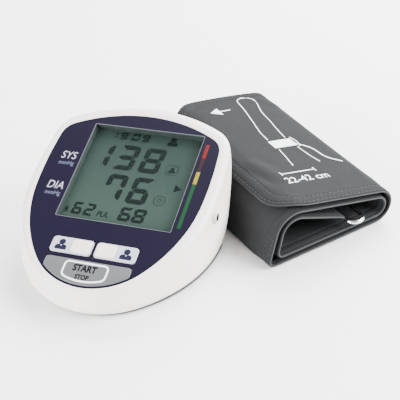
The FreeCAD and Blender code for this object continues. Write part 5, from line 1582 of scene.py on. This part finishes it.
# the arrow: tip, neck and end, and the widths of its tip and neck
ARROW, ARROW_WIDTHS = ((27, 128), (35, 128), (44, 128)), (0.01, 10)
# the dimension line: start, end, place along the roll and half a tick; and its words' middle
SPAN_START, SPAN_END, SPAN_UP, TICK = 25, 53, 36, 2.2
WORDS, WORDS_HEIGHT, WORDS_PLACE = "22-42 cm", 6.8, (40.5, 27.5)


def pictogram(cuff):
    """The print: how the cuff sits on an arm, the hose, and the arm sizes that the cuff fits."""
    thin = cuff.print_line
    tip, neck, end = ARROW
    solids = [ribbon(curve_through(side), thin) for side in ARM]
    solids.append(ribbon(arc(SHOULDER, SHOULDER_RADIUS, 0, math.pi, 14), thin))
    solids += [ribbon(curve_through(side), thin) for side in FOREARM]
    solids += [ribbon(BAND, BAND_WIDTH * MM, cuts=6),
               ribbon(curve_through(HOSE), thin * 1.5),
               ribbon(arc(REAR, REAR_RADIUS, -REAR_ANGLE, REAR_ANGLE, 10), thin),
               ribbon((tip, neck), np.array(ARROW_WIDTHS) * MM, cuts=6),
               ribbon((neck, end), thin * 1.3),
               ribbon(((SPAN_START, SPAN_UP), (SPAN_END, SPAN_UP)), thin)]
    solids += [ribbon(((place, SPAN_UP - TICK), (place, SPAN_UP + TICK)), thin)
               for place in (SPAN_START, SPAN_END)]
    words = lettering(WORDS, WORDS_HEIGHT * MM, np.array(WORDS_PLACE) * MM, 0.0, 1.0)
    solids.append(moved(words, lambda points: points + (0, 0, cuff.print_lift[1] / 2)))
    return several(solids)


# ---------------------------------------------------------------- the cuff

class MONITOR_OT_cuff(bpy.types.Operator):
    """Wind the padded cloth sleeve with its piping, stitching, print, air cell and ring"""
    bl_idname = "monitor.cuff"
    bl_label = "Cuff"

    def execute(self, context):
        cuff = settings("cuff")
        circles = winding(cuff)
        sleeve = Sleeve(cuff, circles)
        swell(sleeve)
        rings = sleeve.rings(sleeve.along, sleeve.share, sleeve.outer, sleeve.inner)
        solid = ring_solid(cuff_space(rings))
        across = rings[..., 1]
        flat = np.stack((np.broadcast_to(sleeve.along[:, None], across.shape), across), -1)
        flat = np.vstack((flat.reshape(-1, 2), flat[0, 0], flat[-1, 0]))
        grey = cloth("cuff_cloth", cuff.cloth, 0.8, Specular_IOR_Level=0.08)
        made = add_piece("cuff_sleeve_cloth", *solid, grey, "cuff", 60 * DEG, uv=flat)
        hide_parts("cuff_sleeve")
        self.piping(sleeve)
        self.stitches(sleeve)
        white = plastic("print_white", cuff.print_white, 0.6)
        made = add_piece("cuff_print", *moved(pictogram(cuff), sleeve.place), white, "cuff")
        self.inside(cuff, circles)
        self.ring(cuff, circles)
        return {"FINISHED"}

    @staticmethod
    def piping(sleeve):
        """Piping round the sleeve's edge: dark on the outer turn and light on the inner ones."""
        cuff = sleeve.cuff
        inset, step = cuff.edge_round * 0.2, 1.5 * MM
        dark, light = (plastic(name, colour, 0.8, grain=1500.0, depth=0.1 * MM)
                       for name, colour in (("piping_dark", toned(cuff.cloth, 1.2)),
                                            ("piping_light", cuff.binding)))
        around = sleeve.contour(inset, sleeve.cover, step)
        run = np.arange(sleeve.cover, sleeve.reach - cuff.edge_round, step)
        rows = [at_height(run, place) for place in (inset, cuff.long - inset)]
        for name, lines, colour in (("outer_piping", [around], dark),
                                    ("inner_piping", rows, light)):
            tubes = []
            for flat in lines:
                line, normal = sleeve.path(flat[:, 0]), sleeve.normal(flat[:, 0])
                path = np.insert(line, 1, flat[:, 1], axis=1)
                first = np.insert(normal, 1, 0, axis=1)
                tubes.append(tube(path, cuff.piping, 8, first=first))
            made = add_piece(name, *moved(several(tubes), cuff_space), colour, "cuff")

    @staticmethod
    def stitches(sleeve):
        """Two rows of stitches round the outer turn: short rods that dive into the cloth."""
        cuff = sleeve.cuff
        long, pitch, half = cuff.stitch
        sides, past = 6, 14 * MM
        turn = np.linspace(0, 2 * np.pi, sides, endpoint=False)
        runs = np.array((0, 0.15, 0.5, 0.85, 1.0)) * long
        lifts = np.array((-0.35, 0.05, 0.16, 0.05, -0.35)) * MM
        high = (lifts[:, None] + half * np.sin(turn)[None])[..., None]
        solids = []
        for inset in cuff.rows:
            line = sleeve.contour(inset, sleeve.cover - past, 0.4 * MM)
            place = resample(line, line)
            for start in np.arange(0, walked(line)[-1] - pitch, pitch):
                flat = place(start + runs)
                side = leftward(unit(np.gradient(flat, axis=0))) * half
                rings = flat[:, None] + side[:, None] * np.cos(turn)[None, :, None]
                solids.append(ring_solid(np.concatenate((rings, high), -1)))
        thread = plastic("stitch_thread", cuff.thread, 0.7, grain=4000.0, depth=0.05 * MM)
        made = add_piece("cuff_stitches", *moved(several(solids), sleeve.place), thread, "cuff")

    @staticmethod
    def inside(cuff, circles):
        """The air cell inside the sleeve, and the hook tape under the flap.

        The tape's second circle lies halfway between the shoulder and the nose.
        """
        rubber = plastic("bladder_rubber", (0.03, 0.03, 0.032), 0.6)
        cell = wound_pad(cuff, circles[2:5], *cuff.cell, start=240 * DEG, end=-60 * DEG)
        cell = add_piece("air_cell", *cell, rubber, "cuff")
        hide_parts("air_bladder")
        middle = ((circles[0][0] + circles[1][0]) / 2, (circles[0][1] + circles[1][1]) / 2)
        tape = wound_pad(cuff, [circles[0], middle], *cuff.hook,
                         start=cuff.flap_angle - 8.6 * DEG, end=75 * DEG)
        hooks = plastic("hook_tape", (0.012, 0.012, 0.014), 0.9, grain=900.0, depth=0.5 * MM)
        tape = add_piece("hook_tape", *tape, hooks, "cuff")
        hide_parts("hook_patch")

    @staticmethod
    def ring(cuff, circles):
        """The ring at the sleeve's inner end: round wire bent to a long loop with round ends."""
        wire, width, proud = cuff.ring
        centre, radius = circles[-1]
        out = compass([cuff.tail_angle])[0]
        room = wire * 1.4 + 0.3 * MM
        start, high = centre + (radius - cuff.layer / 2) * out - room * leftward(out)
        half = width / 2
        near, far = half + wire - proud, cuff.long + proud - half - wire
        run = np.linspace(near, far, 32)[1:-1]
        loop = np.vstack((arc((start + half, near), half, -math.pi, 0, 24),
                          at_height(run, start + width)[:, ::-1],
                          arc((start + half, far), half, 0, math.pi, 24),
                          at_height(run[::-1], start)[:, ::-1]))
        path = cuff_space(at_height(loop, high))
        steel = metal("ring_steel", (0.82, 0.82, 0.83), 0.16)
        made = add_piece("ring_wire", *tube(path, wire, 16, True), steel, "cuff")
        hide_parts("d_ring")


# ---------------------------------------------------------------- what is inside and beneath

# each plain slot's finish: what makes it, its colour and its roughness
INNER = {
    "frame_grey": (plastic, (0.26, 0.27, 0.28), 0.5),
    "silicone_grey": (plastic, (0.20, 0.21, 0.23), 0.6),
    "board_green": (plastic, (0.01, 0.09, 0.045), 0.35),
    "component_black": (plastic, (0.012, 0.012, 0.014), 0.45),
    "dark_rubber": (plastic, (0.02, 0.02, 0.021), 0.75),
    "battery_jacket": (plastic, (0.10, 0.10, 0.12), 0.3),
    "pump_plastic": (plastic, (0.02, 0.02, 0.022), 0.5),
    "silicone_clear": (plastic, (0.55, 0.55, 0.50), 0.4),
    "port_plastic": (plastic, (0.05, 0.05, 0.055), 0.45),
    "screw_steel": (metal, (0.55, 0.55, 0.56), 0.35),
    "contact_steel": (metal, (0.72, 0.72, 0.70), 0.3),
    "motor_steel": (metal, (0.55, 0.55, 0.56), 0.35),
}


class MONITOR_OT_finishes(bpy.types.Operator):
    """Give every other part of the frame the finish of its material slot"""
    bl_idname = "monitor.finishes"
    bl_label = "Inner parts"

    def execute(self, context):
        white = settings("housing").white
        made = {"housing_white": plastic("housing_white", white, 0.34),
                "door_white": plastic("door_white", toned(white, 0.97), 0.36)}
        made.update((slot, maker(slot, colour, rough))
                    for slot, (maker, colour, rough) in INNER.items())
        for part in frame["record"]["subparts"]:
            if part["material_slot"] in made:
                assign(part["node"], made[part["material_slot"]])
        assign("dc_jack", self.jack_finish(white))
        return {"FINISHED"}

    @staticmethod
    def jack_finish(white):
        """The jack's white plastic, coloured nearly black deep in its bore near the jack's axis:
        painted shade inside the hole.
        """
        material, tree, shader = new_material("jack", Roughness=0.4)
        back, height, radius = settings("housing").jack
        lip, painted_shade_radius = 0.3 * MM, 0.8 * radius
        place = object_place(tree)
        parts = node(tree, "ShaderNodeSeparateXYZ", {0: place}).outputs
        squares = [compute(tree, "POWER", compute(tree, "SUBTRACT", parts[axis], middle), 2.0)
                   for axis, middle in ((1, back), (2, height))]
        away = compute(tree, "SQRT", compute(tree, "ADD", *squares))
        given = grouped(tree, "moulded_grain", Place=place, Grain=2600.0, Marks=MARKS)
        edge = compute(tree, "MULTIPLY_ADD", given["Tone"], 0.2 * MM, away)
        # painted shade: deep in the bore, near the axis, the white plastic is coloured nearly
        # black
        deep = compute(tree, "LESS_THAN", parts[0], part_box("dc_jack")[1][0] - lip)
        inside = compute(tree, "MULTIPLY", deep, compute(tree, "LESS_THAN", edge, painted_shade_radius))
        tree.links.new(blend(tree, inside, toned(white, 0.9), (0.02, 0.02, 0.022)),
                       shader["Base Color"])
        bump(tree, given["Height"], MOULDED, shader)
        return material


# ---------------------------------------------------------------- stage

# the camera's own axes in the row's frame: back, from what it sees to the camera, and up
CAMERA_BACK = (0.29143620, -0.76301391, 0.57695295)
CAMERA_UP = (-0.13567186, 0.56406831, 0.81450604)
SENSOR = 36.0           # the camera sensor's width in millimetres


class MONITOR_OT_stage(bpy.types.Operator):
    """Lay the pale floor, hang the soft lights and set up the camera"""
    bl_idname = "monitor.stage"
    bl_label = "Stage"

    def execute(self, context):
        stage = settings("stage")
        scene = context.scene
        half, down = stage.floor_half, settings("cuff").place[2]
        points = at_height(box_loop(-half, half, -half, half), down)
        paint = plastic("floor_paint", stage.floor, 0.7, grain=90.0, spread=0.01)
        floor = add_piece("floor", points, [[0, 1, 2, 3]], paint, None, solid=False)
        world = bpy.data.worlds.new("studio")
        world.use_nodes = True
        sky = world.node_tree.nodes["Background"]
        sky.inputs["Color"].default_value = (1, 1, 1, 1)
        sky.inputs["Strength"].default_value = stage.sky
        scene.world = world
        for name in ("key", "fill", "front"):
            self.lamp(name, getattr(stage, name + "_power"), getattr(stage, name + "_place"),
                      stage)
        back, up = Vector(CAMERA_BACK), Vector(CAMERA_UP)
        turn = Matrix((up.cross(back), up, back)).transposed().to_4x4()
        camera = new_object("camera", bpy.data.cameras.new("camera"))
        camera.data.lens = stage.lens
        camera.data.sensor_width = SENSOR
        camera.data.clip_start = 10 * MM
        camera.matrix_world = Matrix.Translation(stage.camera) @ turn
        scene.camera = camera
        return {"FINISHED"}

    @staticmethod
    def lamp(name, power, place, stage):
        """A square area light that faces the stage's aim."""
        data = bpy.data.lights.new(name, "AREA")
        data.energy = power
        data.size = stage.lamp_size
        way = Vector(stage.aim) - Vector(place)
        turn = way.to_track_quat("-Z", "Y").to_matrix().to_4x4()
        new_object(name, data).matrix_world = Matrix.Translation(place) @ turn


# ---------------------------------------------------------------- the add-on

class MONITOR_PT_sidebar(bpy.types.Panel):
    """The sidebar panel that lists what the add-on makes"""
    bl_idname = "MONITOR_PT_sidebar"
    bl_label = "Monitor"
    bl_space_type = "VIEW_3D"
    bl_region_type = "UI"
    bl_category = "Monitor"

    def draw(self, context):
        for operator in OPERATORS:
            self.layout.operator(operator.bl_idname)


SETTINGS = {"housing": MonitorHousing, "panel": MonitorPanel, "keys": MonitorKeys,
            "cuff": MonitorCuff, "stage": MonitorStage}
OPERATORS = (MONITOR_OT_finishes, MONITOR_OT_housing, MONITOR_OT_panel, MONITOR_OT_display,
             MONITOR_OT_keys, MONITOR_OT_cuff, MONITOR_OT_stage)
CLASSES = (*SETTINGS.values(), *OPERATORS, MONITOR_PT_sidebar)


def register():
    for made in CLASSES:
        bpy.utils.register_class(made)
    for name, made in SETTINGS.items():
        setattr(bpy.types.Scene, "monitor_" + name, PointerProperty(type=made))


def unregister():
    for name in SETTINGS:
        delattr(bpy.types.Scene, "monitor_" + name)
    for made in reversed(CLASSES):
        bpy.utils.unregister_class(made)


def main():
    """Dress the frame piece by piece."""
    register()
    for operator in OPERATORS:
        group, name = operator.bl_idname.split(".")
        getattr(getattr(bpy.ops, group), name)()


if __name__ == "__main__":
    main()
